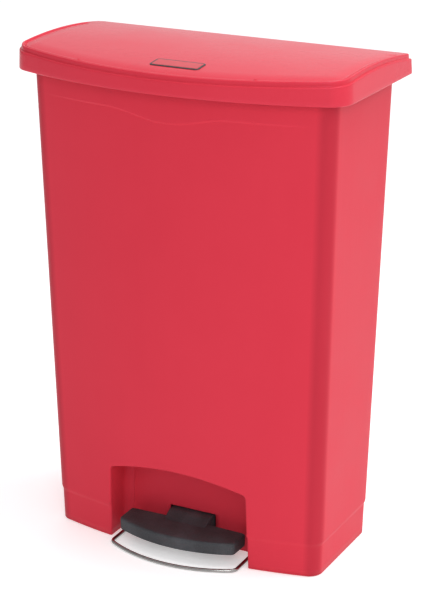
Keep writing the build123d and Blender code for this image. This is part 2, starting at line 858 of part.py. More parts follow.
def damper_bracket_solid():
    """A block on the rear wall that the damper's cylinder is held in."""
    low = (damper_x - 11, rod_y - damper_radius - 3, damper_low_z + 30)
    right = cover_half_width - cover_wall - fixed_gap
    block = between(low, (right, reach, damper_low_z + 50)) & fitted_core
    return block - Pos(damper_x, rod_y, damper_low_z) * Cylinder(damper_radius + seat_clearance, 200.0)


# The pedal


def tread_solid():
    """The bowed step with its ramped neck."""
    sides = Polyline(
        (-tread_half_width, tread_front_y + tread_bow),
        (-tread_rear_half_width, tread_rear_y),
        (tread_rear_half_width, tread_rear_y),
        (tread_half_width, tread_front_y + tread_bow),
    )
    front = ThreePointArc(
        (tread_half_width, tread_front_y + tread_bow),
        (0, tread_front_y),
        (-tread_half_width, tread_front_y + tread_bow),
    )
    plan = make_face(sides + front)
    plan = fillet(plan.vertices(), 6.0)
    step = Pos(0, 0, tread_low_z) * extrude(plan, amount=tread_high_z - tread_low_z)
    step = fillet(step.edges().group_by(Axis.Z)[-1], 3.0)
    ramp = [
        (neck_front_y, tread_low_z),
        (neck_front_y, tread_high_z - 2),
        (tread_rear_y, tread_high_z + 2.0),
        (tread_rear_y + 10, neck_top_z),
        (neck_rear_y, neck_top_z),
        (neck_rear_y, tread_low_z),
    ]
    step += yz_plate(ramp, neck_half_width)
    # The underside is open to the steel arm and is cored out to an even wall.
    core = bow_core()
    step -= core
    for x, y in tread_screw_places():
        boss = Pos(x, y, 0) * Cylinder(5.0, reach) & slab(pedal_arm_high(), tread_high_z - 2)
        step += boss
        step -= Pos(x, y, pedal_arm_high() + 8) * screw_hole(20.0)
    return step


def bow_core():
    wall = 3.0
    low = tread_low_z - 1
    high = tread_high_z - wall
    sides = Polyline(
        (-tread_half_width + wall, tread_front_y + tread_bow + wall),
        (-tread_rear_half_width + wall, tread_rear_y - wall),
        (tread_rear_half_width - wall, tread_rear_y - wall),
        (tread_half_width - wall, tread_front_y + tread_bow + wall),
    )
    front = ThreePointArc(
        (tread_half_width - wall, tread_front_y + tread_bow + wall),
        (0, tread_front_y + wall),
        (-tread_half_width + wall, tread_front_y + tread_bow + wall),
    )
    core = Pos(0, 0, low) * extrude(make_face(sides + front), amount=high - low)
    neck = between(
        (-neck_half_width + wall, tread_rear_y - 2 * wall, low),
        (neck_half_width - wall, reach, high),
    )
    return core + neck


def pedal_arm_high():
    """The top of the arm's plate under the tread."""
    return pedal_z - 1.0


def tread_screw_places():
    return [(x, y) for x in (-22.0, 22.0) for y in (-104.0, -76.0)]


def pedal_arm_solid():
    """A steel plate under the tread, a pivot boss and a tongue that runs back to the rod."""
    high = pedal_arm_high()
    plate = between((-pedal_boss_half_length, tread_front_y + 14, high - pedal_arm_thickness),
                    (pedal_boss_half_length, pedal_y, high))
    plate += cross_cylinder(pedal_y, pedal_z, pedal_boss_radius, 2 * pedal_boss_half_length)
    plate += track([(pedal_y, pedal_z), foot_places_in_arm[0]], tongue_half_height, 2 * tongue_half_width)
    plate -= cross_cylinder(pedal_y, pedal_z, bush_radius + seat_clearance, 200.0)
    plate -= track(foot_places_in_arm, link_pin_radius + slot_clearance, 60.0)
    for x, y in tread_screw_places():
        plate -= Pos(x, y, high) * screw_hole(2 * pedal_arm_thickness)
    return plate


def pivot_bush_solids():
    bushes = []
    for side in (-1, 1):
        x = side * (pedal_boss_half_length - bush_length / 2 + 1.0)
        bush = cross_cylinder(pedal_y, pedal_z, bush_radius, bush_length, x)
        flange_x = side * (pedal_boss_half_length + 2.0)
        bush += cross_cylinder(pedal_y, pedal_z, pedal_boss_radius, 3.0, flange_x)
        bushes.append(bush - cross_cylinder(pedal_y, pedal_z, pedal_pin_radius + pin_clearance, 200.0))
    return bushes


def group(solids):
    return Compound(children=list(solids))


def write(name, shape):
    export_step(shape, os.path.join("parts", name + ".step"))


os.makedirs("parts", exist_ok=True)

write("outer_shell", outer_shell_solid())
write("base_plate", base_plate_solid())
write("floor_loop", floor_loop_solid())
write("loop_clamps", group(loop_clamp_solids()))
write("loop_clamp_screws", group(
    Pos(x, y, 4.0) * Rot(180, 0, 0) * screw(6.0) for x, y in clamp_screw_places()
))
write("base_plate_screws", group(
    Pos(x, y, plate_low_z) * Rot(180, 0, 0) * screw(14.0) for x, y in plate_screw_places
))
write("rubber_feet", group(
    Pos(x, y, plate_low_z / 2) * Cylinder(foot_radius, plate_low_z) for x, y in foot_places
))
write("pivot_bracket_left", pivot_bracket_solid(-1))
write("pivot_bracket_right", pivot_bracket_solid(1))
write("pivot_bracket_screws", group(
    Pos(x, y, plate_top_z + 3.0) * screw(6.0) for x, y in bracket_screw_places
))
pin_half = bracket_x + bracket_thickness + 5.0
write("pedal_pivot_pin", cross_cylinder(pedal_y, pedal_z, pedal_pin_radius, 2 * pin_half))
write("pivot_pin_clips", group(
    Pos(side * (bracket_x + bracket_thickness + 1.5), pedal_y, pedal_z) * Rot(0, 90, 0)
    * ring(8.0, pedal_pin_radius + seat_clearance, 1.5)
    for side in (-1, 1)
))
write("rod_cover", rod_cover_solid())
write("rod_cover_screws", group(
    Pos(x, wall_inside_y(z) - cover_wall - fixed_gap - tilt_gap, z) * Rot(90, 0, 0) * screw(5.5)
    for x, z in cover_screw_places()
))
write("rod_guide_lower", rod_guide_solid(guide_low_z))
write("rod_guide_upper", rod_guide_solid(guide_high_z))
for side, word in ((-1, "left"), (1, "right")):
    write("hinge_block_" + word, hinge_block_solid(side))
    write("hinge_arm_" + word, hinge_arm_solid(side))
block_face_y = wall_inside_y(hinge_z) - hinge_pad_thickness - fixed_gap - hinge_plate_thickness
write("hinge_block_screws", group(
    Pos(x, block_face_y, z) * Rot(90, 0, 0) * screw(10.0)
    for side in (-1, 1) for x, z in hinge_screw_places(side)
))
hinge_pin_length = arm_width + 2 * (moving_gap + lug_thickness) + 4.0
write("hinge_pins", group(
    cross_cylinder(hinge_y, hinge_z, hinge_pin_radius, hinge_pin_length, side * hinge_x) for side in (-1, 1)
))
write("hinge_arm_screws", group(
    Pos(x, y, lid_boss_low() - arm_flange_thickness) * Rot(180, 0, 0) * screw(10.0)
    for side in (-1, 1) for x, y in flange_screw_places(side * hinge_x)
))
write("lid_shell", lid_shell_solid())
write("lid_badge", badge_solid(badge_thickness))
write("lid_lever", lid_lever_solid())
write("lid_lever_screws", group(
    Pos(x, y, lid_boss_low() - arm_flange_thickness) * Rot(180, 0, 0) * screw(10.0)
    for x, y in flange_screw_places(0.0)
))
write("lid_bumpers", group(
    Pos(x, y, bumper_low_z + bumper_height / 2) * Cylinder(bumper_radius, bumper_height)
    for x, y in bumper_places()
))
write("lift_rod", lift_rod_solid())
write("rod_head_clevis", head_clevis_solid())
write("rod_foot_clevis", foot_clevis_solid())
write("lever_pin", link_pin_solid(lever_pin_z, head_gap))
write("foot_pin", link_pin_solid(foot_pin_z, foot_gap))
write("damper_cylinder", damper_cylinder_solid())
write("damper_bracket", damper_bracket_solid())
write("damper_piston_rod", damper_piston_rod_solid())
write("damper_clamp", damper_clamp_solid())
write("pedal_tread", tread_solid())
write("pedal_arm", pedal_arm_solid())
write("tread_screws", group(
    Pos(x, y, pedal_arm_high() - pedal_arm_thickness) * Rot(180, 0, 0) * screw(10.0)
    for x, y in tread_screw_places()
))
write("pivot_bushes", group(pivot_bush_solids()))
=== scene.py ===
"""A slim step-on waste bin: its moulded shells, step, wire loop and finishes, round the fitted frame."""

import logging
from dataclasses import dataclass, field, replace
from enum import Enum
from math import cos, pi, radians, sin
from typing import Any, Optional, Union

import bmesh
import bpy
import numpy as np
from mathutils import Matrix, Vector


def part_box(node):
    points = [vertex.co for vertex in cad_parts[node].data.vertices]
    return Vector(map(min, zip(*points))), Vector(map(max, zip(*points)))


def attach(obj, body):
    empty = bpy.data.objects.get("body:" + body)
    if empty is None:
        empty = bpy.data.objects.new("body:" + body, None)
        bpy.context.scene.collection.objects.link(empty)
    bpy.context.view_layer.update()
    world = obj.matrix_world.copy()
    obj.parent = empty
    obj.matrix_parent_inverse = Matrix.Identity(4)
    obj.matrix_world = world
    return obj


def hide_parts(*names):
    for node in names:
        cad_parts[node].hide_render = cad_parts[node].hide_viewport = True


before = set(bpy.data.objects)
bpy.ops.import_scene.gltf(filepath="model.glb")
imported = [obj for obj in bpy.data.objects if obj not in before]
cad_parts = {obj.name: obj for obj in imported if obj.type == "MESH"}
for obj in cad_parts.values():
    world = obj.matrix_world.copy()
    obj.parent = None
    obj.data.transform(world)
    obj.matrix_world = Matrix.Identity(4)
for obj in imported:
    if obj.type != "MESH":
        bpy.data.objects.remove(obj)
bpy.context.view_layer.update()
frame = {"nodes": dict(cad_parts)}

MM = 0.001
# The point attribute that marks where painted shade darkens the body's front corners.
PAINTED_CORNER_SHADE = "thick"
Size = Union[float, np.ndarray]
Colour = tuple[float, float, float]

log = logging.getLogger("step_on_bin")


class Body(Enum):
    """The moving bodies that a piece can ride on."""

    ROOT = "root"
    LID = "lid"
    PEDAL = "pedal"
    LIFT = "lift"


# ---------------------------------------------------------------- curves and surfaces


def smooth_step(value: np.ndarray) -> np.ndarray:
    """Rises from 0 to 1 as value does, level at both ends: three value squared less two value cubed."""
    held = np.clip(value, 0.0, 1.0)
    return held * held * (3.0 - 2.0 * held)


def lifted(plan: np.ndarray, heights: np.ndarray) -> np.ndarray:
    """Joins a plan of X and Y with heights, which may be one number for each row."""
    tall = np.broadcast_to(heights, plan.shape[:-1])
    return np.concatenate([plan, tall[..., None]], axis=-1)


def filled(loop: np.ndarray, across: int, along: int) -> np.ndarray:
    """Fills a closed loop with a grid, by blending its four sides.

    Each point is the blend of the front and rear points above and below it, plus the blend of the
    side points beside it, less the blend of the four corners that both of those already hold.

    Args:
        loop: The loop's points, once round from its front left corner, as rows of X and Y.
        across: The number of steps along the front, and along the rear.
        along: The number of steps along each side.

    Returns:
        A grid of points, from front to rear and from left to right.
    """
    front = loop[: across + 1]
    right = loop[across : across + along + 1]
    rear = loop[across + along : 2 * across + along + 1][::-1]
    left = np.concatenate([loop[2 * across + along :], loop[:1]])[::-1]

    def shares(first: np.ndarray, second: np.ndarray) -> np.ndarray:
        """The mean share of their lengths that two facing sides have covered at each step."""
        steps = [np.linalg.norm(np.diff(side, axis=0), axis=1) for side in (first, second)]
        runs = [np.concatenate([[0.0], np.cumsum(step)]) for step in steps]
        return 0.5 * (runs[0] / runs[0][-1] + runs[1] / runs[1][-1])

    u = shares(front, rear)[None, :, None]
    v = shares(left, right)[:, None, None]
    sides = (1 - v) * front[None] + v * rear[None] + (1 - u) * left[:, None] + u * right[:, None]
    low = (1 - u) * front[0] + u * front[-1]
    high = (1 - u) * rear[0] + u * rear[-1]
    return sides - (1 - v) * low - v * high


@dataclass(frozen=True)
class Outline:
    """A plan with a straight back and sides and an arc for its front.

    A size is a number, or a column with one number for each row of a surface.

    Attributes:
        half: Half of its width.
        rear: Y of its back.
        front: Y of the middle of its front.
        bow: How far the middle of its front stands ahead of the front corners.
        front_radius: The radius of the front corners.
        rear_radius: The radius of the rear corners.
    """

    half: Size
    rear: Size
    front: Size
    bow: Size
    front_radius: Size
    rear_radius: Size

    def arc(self) -> Size:
        """The front arc's radius: half squared plus bow squared, over twice the bow."""
        return (self.half**2 + self.bow**2) / (2 * self.bow)

    def front_y(self, x: Size) -> Size:
        """The front arc at a place across: its centre's Y less the root of radius squared less x squared."""
        return self.front + self.arc() - np.sqrt(self.arc() ** 2 - x**2)

    def corner_y(self) -> Size:
        """Y of the front corner circle's centre, one corner radius inside both the side and the arc."""
        inner = self.arc() - self.front_radius
        return self.front + self.arc() - np.sqrt(inner**2 - (self.half - self.front_radius) ** 2)

    def touch_x(self) -> Size:
        """X where the corner circle meets the arc, on the line through both centres."""
        return self.arc() * (self.half - self.front_radius) / (self.arc() - self.front_radius)

    def inset(self, distance: Size) -> "Outline":
        """The outline that lies a distance inside this one.

        Args:
            distance: How far in, or out if it is below 0.

        Returns:
            An outline with the same centre for its arc, and corners that keep a small radius.
        """
        arc = self.arc() - distance
        half = self.half - distance
        return Outline(
            half=half,
            rear=self.rear - distance,
            front=self.front + distance,
            bow=arc - np.sqrt(arc**2 - half**2),
            front_radius=np.maximum(self.front_radius - distance, 1.5),
            rear_radius=np.maximum(self.rear_radius - distance, 1.5),
        )

    def loop(self, front_x: np.ndarray, corner: int, side: int, rear: int) -> np.ndarray:
        """The outline as points, once round and rightwards along the front first.

        Corners are points of a circle at even angles, and the straight parts are evenly divided.

        Args:
            front_x: X of the points on the front arc, from left to right, for each row.
            corner: The number of steps round each corner, which is even.
            side: The number of steps along each straight side.
            rear: The number of steps along the straight back.

        Returns:
            Rows of points in X and Y, each from the middle of the front left corner.
        """
        rows = front_x.shape[0]
        half, back, front_r, rear_r, low = (
            np.broadcast_to(np.reshape(value, (-1, 1)), (rows, 1))
            for value in (self.half, self.rear, self.front_radius, self.rear_radius, self.corner_y())
        )
        touch_x = np.broadcast_to(np.reshape(self.touch_x(), (-1, 1)), (rows, 1))
        column = replace(self, **{name: np.reshape(getattr(self, name), (-1, 1)) for name in self.__dict__})
        touch_y = column.front_y(touch_x)
        start = np.arctan2(touch_y - low, touch_x - (half - front_r))
        t = np.linspace(0.0, 1.0, corner + 1)[None, 1:]
        turn = start * (1 - t)
        right_corner = np.stack([half - front_r + front_r * np.cos(turn), low + front_r * np.sin(turn)], -1)
        t = np.linspace(0.0, 1.0, side + 1)[None, 1:]
        right_side = np.stack([half + 0 * t, low + (back - rear_r - low) * t], -1)
        turn = 0.5 * pi * np.linspace(0.0, 1.0, corner + 1)[None, 1:]
        rear_x, rear_y = rear_r * np.cos(turn), rear_r * np.sin(turn)
        rear_corner = np.stack([half - rear_r + rear_x, back - rear_r + rear_y], -1)
        t = np.linspace(1.0, -1.0, rear + 1)[None, 1:]
        rear_edge = np.stack([(half - rear_r) * t, back + 0 * t], -1)
        front_edge = np.stack([front_x, column.front_y(front_x)], -1)
        right = np.concatenate([right_corner, right_side, rear_corner], axis=1)
        left = right[:, ::-1] * np.array([-1.0, 1.0])
        whole = np.concatenate([front_edge, right, rear_edge, left[:, 1:]], axis=1)
        return np.roll(whole, corner // 2, axis=1)


class Skin:
    """Gathers grids of points, in millimetres, and makes one welded mesh of them."""

    def __init__(self) -> None:
        """Starts with no points."""
        self.points: list[np.ndarray] = []
        self.faces: list[list[int]] = []
        self.count = 0

    def grid(
        self, points: np.ndarray, wrap: bool = False, flip: bool = False, keep: Optional[np.ndarray] = None
    ) -> None:
        """Adds a grid. Its faces look along the cross product of its column and row directions.

        Args:
            points: Rows of points.
            wrap: Whether the last column joins the first.
            flip: Whether the faces look the other way.
            keep: Which of the quads are kept, as a grid one smaller each way.
        """
        rows, columns = points.shape[:2]
        index = np.arange(rows * columns).reshape(rows, columns) + self.count
        if wrap:
            index = np.concatenate([index, index[:, :1]], axis=1)
        quads = np.stack([index[:-1, :-1], index[:-1, 1:], index[1:, 1:], index[1:, :-1]], axis=-1)
        quads = quads[keep] if keep is not None else quads.reshape(-1, 4)
        self.faces += (quads[:, ::-1] if flip else quads).tolist()
        self.points.append(points.reshape(-1, 3))
        self.count += rows * columns

    def plate(self, loop: np.ndarray, thickness: float) -> None:
        """Adds a flat closed slab under a closed loop of points.

        Args:
            loop: The points of its upper edge, once round.
            thickness: How thick it is.
        """
        lower = loop - np.array([0.0, 0.0, thickness])
        size = len(loop)
        self.faces.append(list(range(self.count, self.count + size)))
        self.faces.append(list(range(self.count + 2 * size - 1, self.count + size - 1, -1)))
        self.points.append(np.concatenate([loop, lower]))
        self.count += 2 * size
        self.grid(np.stack([lower, loop]), wrap=True)

    def column(self, x: float, y: float, radius: float, low: float, high: float) -> None:
        """Adds a closed round post with a softened lower edge.

        Args:
            x: Its middle across.
            y: Its middle from front to back.
            radius: Its radius.
            low: The height of its lower end.
            high: The height of its upper end.
        """
        sizes = np.array([0.0, 0.55, 0.85, 0.97, 1.0, 1.0, 0.0]) * radius
        heights = np.array([low, low, low + 0.15, low + 0.5, low + 1.2, high, high])
        turn = np.linspace(0.0, 2 * pi, 25)[None, :-1]
        plan = np.stack([x + sizes[:, None] * np.cos(turn), y + sizes[:, None] * np.sin(turn)], -1)
        self.grid(lifted(plan, heights[:, None]), wrap=True)

    def piece(self, name: str, closed: bool = True, sharp: float = 38.0) -> bpy.types.Object:
        """Makes the mesh's object, welded and smooth, at the origin.

        Args:
            name: The piece's name.
            closed: Whether it is a closed shape, whose faces are then made to look outwards.
            sharp: The angle between faces, in degrees, past which an edge stays sharp.

        Returns:
            The new object.
        """
        mesh = bpy.data.meshes.new(name)
        mesh.from_pydata((np.concatenate(self.points) * MM).tolist(), [], self.faces)
        work = bmesh.new()
        work.from_mesh(mesh)
        bmesh.ops.remove_doubles(work, verts=work.verts, dist=0.02 * MM)
        bmesh.ops.dissolve_degenerate(work, edges=work.edges, dist=0.001 * MM)
        if closed:
            bmesh.ops.recalc_face_normals(work, faces=work.faces)
        work.to_mesh(mesh)
        work.free()
        mesh.shade_smooth()
        mesh.set_sharp_from_angle(angle=radians(sharp))
        made = bpy.data.objects.new(name, mesh)
        bpy.context.scene.collection.objects.link(made)
        return made


def mark_painted_corner_shade(piece: bpy.types.Object, shares: np.ndarray) -> None:
    """Marks a piece's front corners, where painted shade deepens its colour.

    Args:
        piece: The piece.
        shares: From 0 to 1 for each of its points.
    """
    marks = piece.data.attributes.new(PAINTED_CORNER_SHADE, "FLOAT", "POINT")
    marks.data.foreach_set("value", shares.astype(np.float32))


def points_mm(piece: bpy.types.Object) -> np.ndarray:
    """A piece's points, in millimetres."""
    places = np.zeros(len(piece.data.vertices) * 3, np.float32)
    piece.data.vertices.foreach_get("co", places)
    return places.reshape(-1, 3) / MM


def box_mm(node: str) -> tuple[np.ndarray, np.ndarray]:
    """A node's lowest and highest corners, in millimetres."""
    low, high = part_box(node)
    return np.array(low) / MM, np.array(high) / MM


def settle(piece: bpy.types.Object, body: Body, slot: str, material: bpy.types.Material, *nodes: str) -> None:
    """Dresses a piece and fixes it to its body.

    Args:
        piece: The new piece.
        body: The body that it rides on.
        slot: The material slot that its finish belongs to; it is not used.
        material: Its finish.
        nodes: The plain nodes that it stands for.
    """
    piece.data.materials.append(material)
    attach(piece, body.value)
    if nodes:
        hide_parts(*nodes)
    count, stands_for = len(piece.data.polygons), ", ".join(nodes) or "nothing"
    log.info("%s: %d faces, rides on %s, stands for %s", piece.name, count, body.value, stands_for)


# ---------------------------------------------------------------- finishes


class Socket:
    """A node's output in an expression. Each operator adds one Math node."""

    def __init__(self, graph: "Graph", output: bpy.types.NodeSocket) -> None:
        """Keeps the output and the graph that it is in."""
        self.graph = graph
        self.output = output

    def math(self, operation: str, *values: Any) -> "Socket":
        """A Math node's result for some values."""
        return self.graph.node("ShaderNodeMath", {"operation": operation}, dict(enumerate(values)))

    def __add__(self, other: Any) -> "Socket":
        """This plus the other."""
        return self.math("ADD", self, other)

    def __radd__(self, other: Any) -> "Socket":
        """The other plus this."""
        return self.math("ADD", other, self)

    def __sub__(self, other: Any) -> "Socket":
        """This less the other."""
        return self.math("SUBTRACT", self, other)

    def __rsub__(self, other: Any) -> "Socket":
        """The other less this."""
        return self.math("SUBTRACT", other, self)

    def __mul__(self, other: Any) -> "Socket":
        """This times the other."""
        return self.math("MULTIPLY", self, other)

    def __rmul__(self, other: Any) -> "Socket":
        """The other times this."""
        return self.math("MULTIPLY", other, self)

    def ramp(self, low: float, high: float) -> "Socket":
        """Rises smoothly from 0 at low to 1 at high."""
        settings = {"interpolation_type": "SMOOTHSTEP"}
        inputs = {"Value": self, "From Min": low, "From Max": high}
        return self.graph.node("ShaderNodeMapRange", settings, inputs)


class Graph:
    """One material's nodes."""

    def __init__(self, name: str) -> None:
        """Starts a material with an output and nothing else."""
        self.material = bpy.data.materials.new(name)
        self.material.use_nodes = True
        self.tree = self.material.node_tree
        self.tree.nodes.clear()
        self.end = self.tree.nodes.new("ShaderNodeOutputMaterial")

    def node(
        self, kind: str, settings: Optional[dict] = None, inputs: Optional[dict] = None, output: Any = 0
    ) -> Socket:
        """Adds a node.

        Args:
            kind: The node's type.
            settings: Its properties, which are set before its sockets.
            inputs: The value or the link of each socket, by name or number.
            output: The name or number of the output that is wanted.

        Returns:
            That output.
        """
        made = self.tree.nodes.new(kind)
        for name, value in (settings or {}).items():
            setattr(made, name, value)
        for name, value in (inputs or {}).items():
            if isinstance(value, Socket):
                self.tree.links.new(value.output, made.inputs[name])
            else:
                made.inputs[name].default_value = value
        return Socket(self, made.outputs[output])

    def place(self, scale: Colour = (1.0, 1.0, 1.0)) -> Socket:
        """The surface's own coordinates, in metres, stretched along each axis."""
        here = self.node("ShaderNodeTexCoord", output="Object")
        return self.node("ShaderNodeMapping", inputs={"Vector": here, "Scale": scale})

    def noise(self, where: Socket, scale: float, detail: float = 3.0, roughness: float = 0.5) -> Socket:
        """Soft noise from 0 to 1 with so many patches to the metre."""
        inputs = {"Vector": where, "Scale": scale, "Detail": detail, "Roughness": roughness}
        return self.node("ShaderNodeTexNoise", inputs=inputs)

    def height(self, where: Socket) -> Socket:
        """The Z of some coordinates."""
        return self.node("ShaderNodeSeparateXYZ", inputs={0: where}, output=2)

    def blend(self, share: Any, first: Any, second: Any) -> Socket:
        """A colour between two others."""
        sides = [(*side, 1.0) if isinstance(side, tuple) else side for side in (first, second)]
        inputs = {0: share, 6: sides[0], 7: sides[1]}
        return self.node("ShaderNodeMix", {"data_type": "RGBA"}, inputs, output=2)

    def bump(
        self, height: Socket, strength: float, distance: float, below: Optional[Socket] = None
    ) -> Socket:
        """A normal for small relief of a given height in metres."""
        inputs = {"Height": height, "Strength": strength, "Distance": distance}
        if below is not None:
            inputs["Normal"] = below
        return self.node("ShaderNodeBump", inputs=inputs)

    def surface(self, inputs: dict) -> bpy.types.Material:
        """Ends the graph with the main shader.

        Args:
            inputs: The values and links of the shader's sockets.

        Returns:
            The finished material.
        """
        shader = self.node("ShaderNodeBsdfPrincipled", inputs=inputs)
        self.tree.links.new(shader.output, self.end.inputs["Surface"])
        return self.material


@dataclass(frozen=True)
class MouldedPlastic:
    """A moulded plastic skin: soft mottling, upright flow lines and a fine grain.

    Attributes:
        colour: The main colour.
        pale: The colour of its paler patches.
        roughness: Its mean roughness.
        grain: The height of its grain, in metres.
        grain_scale: The grain's patches to the metre.
        flow: The height of its flow lines, in metres.
        gloss: The shader's specular level.
        tint: The colour of its soft reflections.
        scuffs: How strongly the lowest part is scuffed.
        corner_shade_strength: How much deeper the colour is where painted corner shade is marked.
    """

    colour: Colour
    pale: Colour
    roughness: float = 0.42
    grain: float = 0.00002
    grain_scale: float = 1500.0
    flow: float = 0.0002
    gloss: float = 0.1
    tint: Colour = (1.0, 0.66, 0.98)
    scuffs: float = 0.0
    corner_shade_strength: float = 0.45

    def material(self, name: str) -> bpy.types.Material:
        """Makes the finish as a material.

        Args:
            name: The material's name.

        Returns:
            The material.
        """
        graph = Graph(name)
        here = graph.place()
        mottle = graph.noise(here, 9.0, 4.0, 0.55)
        cloud = graph.noise(graph.place((1.0, 1.0, 0.35)), 3.2, 2.0)
        streak = graph.noise(graph.place((1.0, 1.0, 0.08)), 55.0, 3.0)
        grain = graph.noise(here, self.grain_scale, 2.0, 0.6)
        low = graph.height(here).ramp(0.09, 0.0) * self.scuffs
        scratch = graph.noise(graph.place((1.0, 1.0, 6.0)), 70.0, 4.0, 0.65).ramp(0.56, 0.7) * low
        share = (mottle - 0.5) * 0.5 + (cloud - 0.5) * 0.9 + (streak - 0.5) * 0.16 + 0.5
        colour = graph.blend(share + scratch * 0.5, self.colour, self.pale)
        # Painted shade: where a piece's corners are marked, the colour deepens towards half of itself.
        thick = graph.node("ShaderNodeAttribute", {"attribute_name": PAINTED_CORNER_SHADE}, output="Fac")
        colour = graph.blend(thick * self.corner_shade_strength, colour, tuple(0.5 * part for part in self.colour))
        rough = (mottle - 0.5) * 0.16 + (grain - 0.5) * 0.1 + self.roughness + scratch * 0.2
        relief = graph.bump(streak + mottle * 0.6, 0.6, self.flow)
        fine = graph.bump(grain, 0.7, self.grain, relief)
        return graph.surface(
            {
                "Base Color": colour,
                "Roughness": rough,
                "Normal": fine,
                "Specular IOR Level": self.gloss,
                "Specular Tint": (*self.tint, 1.0),
            }
        )


@dataclass(frozen=True)
class PlatedSteel:
    """Steel sheet or bar with a drawn grain and a dull plated bloom.

    Attributes:
        colour: The metal's colour.
        roughness: Its mean roughness.
        drawn: How far its grain is stretched along each axis; a small number is a long grain.
        bloom: How strongly the plating clouds it.
    """

    colour: Colour
    roughness: float = 0.34
    drawn: Colour = (0.06, 1.0, 1.0)
    bloom: float = 0.5

    def material(self, name: str) -> bpy.types.Material:
        """Makes the finish as a material.

        Args:
            name: The material's name.

        Returns:
            The material.
        """
        graph = Graph(name)
        here = graph.place()
        drawn = graph.noise(graph.place(self.drawn), 900.0, 3.0, 0.6)
        cloud = graph.noise(here, 60.0, 4.0, 0.6)
        dull = tuple(0.72 * part for part in self.colour)
        colour = graph.blend(cloud.ramp(0.35, 0.7) * self.bloom, self.colour, dull)
        rough = (drawn - 0.5) * 0.22 + (cloud - 0.5) * 0.16 * self.bloom + self.roughness
        return graph.surface(
            {
                "Base Color": colour,
                "Metallic": 1.0,
                "Roughness": rough,
                "Normal": graph.bump(drawn, 0.5, 0.00001),
            }
        )


@dataclass(frozen=True)
class Rubber:
    """Matt rubber with a dusty, slightly uneven skin.

    Attributes:
        colour: The rubber's colour.
        dust: The colour of what clings to it.
    """

    colour: Colour = (0.018, 0.018, 0.019)
    dust: Colour = (0.09, 0.088, 0.085)

    def material(self, name: str) -> bpy.types.Material:
        """Makes the finish as a material.

        Args:
            name: The material's name.

        Returns:
            The material.
        """
        graph = Graph(name)
        here = graph.place()
        dusty = graph.noise(here, 140.0, 4.0, 0.65)
        grain = graph.noise(here, 1600.0, 2.0)
        return graph.surface(
            {
                "Base Color": graph.blend(dusty.ramp(0.5, 0.85), self.colour, self.dust),
                "Roughness": (dusty - 0.5) * 0.2 + 0.78,
                "Normal": graph.bump(grain, 0.6, 0.00006),
            }
        )


@dataclass(frozen=True)
class SparkTexture:
    """Plastic from a spark-eroded mould: a dense pebble grain that tops and walls share.

    Attributes:
        colour: The plastic's colour in the grain's hollows.
        worn: The colour on the grain's tips, rubbed by shoes.
        pebble: The grain's patches to the metre.
        relief: The grain's height, in metres.
        roughness: Its mean roughness.
    """

    colour: Colour = (0.032, 0.0345, 0.039)
    worn: Colour = (0.080, 0.085, 0.094)
    pebble: float = 900.0
    relief: float = 0.00012
    roughness: float = 0.62

    def material(self, name: str) -> bpy.types.Material:
        """Makes the finish as a material.

        Args:
            name: The material's name.

        Returns:
            The material.
        """
        graph = Graph(name)
        here = graph.place()
        settings = {"feature": "SMOOTH_F1"}
        cells = graph.node("ShaderNodeTexVoronoi", settings, {"Vector": here, "Scale": self.pebble})
        broad = graph.noise(here, 28.0, 3.0)
        tips = cells.ramp(0.55, 0.1)
        rubbed = tips * 0.5 + broad.ramp(0.4, 0.75) * 0.5
        return graph.surface(
            {
                "Base Color": graph.blend(rubbed, self.colour, self.worn),
                "Roughness": (broad - 0.5) * 0.18 + self.roughness - tips * 0.08,
                "Normal": graph.bump(tips, 0.55, self.relief),
                "Specular IOR Level": 0.32,
            }
        )


@dataclass(frozen=True)
class Enamel:
    """A hard glossy coat over a pressed plate, with a faint ripple.

    Attributes:
        colour: The coat's colour.
        shade: The colour where the coat is thicker.
        roughness: Its mean roughness.
    """

    colour: Colour
    shade: Colour
    roughness: float = 0.22

    def material(self, name: str) -> bpy.types.Material:
        """Makes the finish as a material.

        Args:
            name: The material's name.

        Returns:
            The material.
        """
        graph = Graph(name)
        here = graph.place()
        ripple = graph.noise(here, 160.0, 3.0)
        return graph.surface(
            {
                "Base Color": graph.blend(ripple.ramp(0.35, 0.7), self.colour, self.shade),
                "Roughness": (ripple - 0.5) * 0.12 + self.roughness,
                "Normal": graph.bump(ripple, 0.35, 0.00005),
                "Coat Weight": 0.3,
                "Coat Roughness": 0.12,
            }
        )


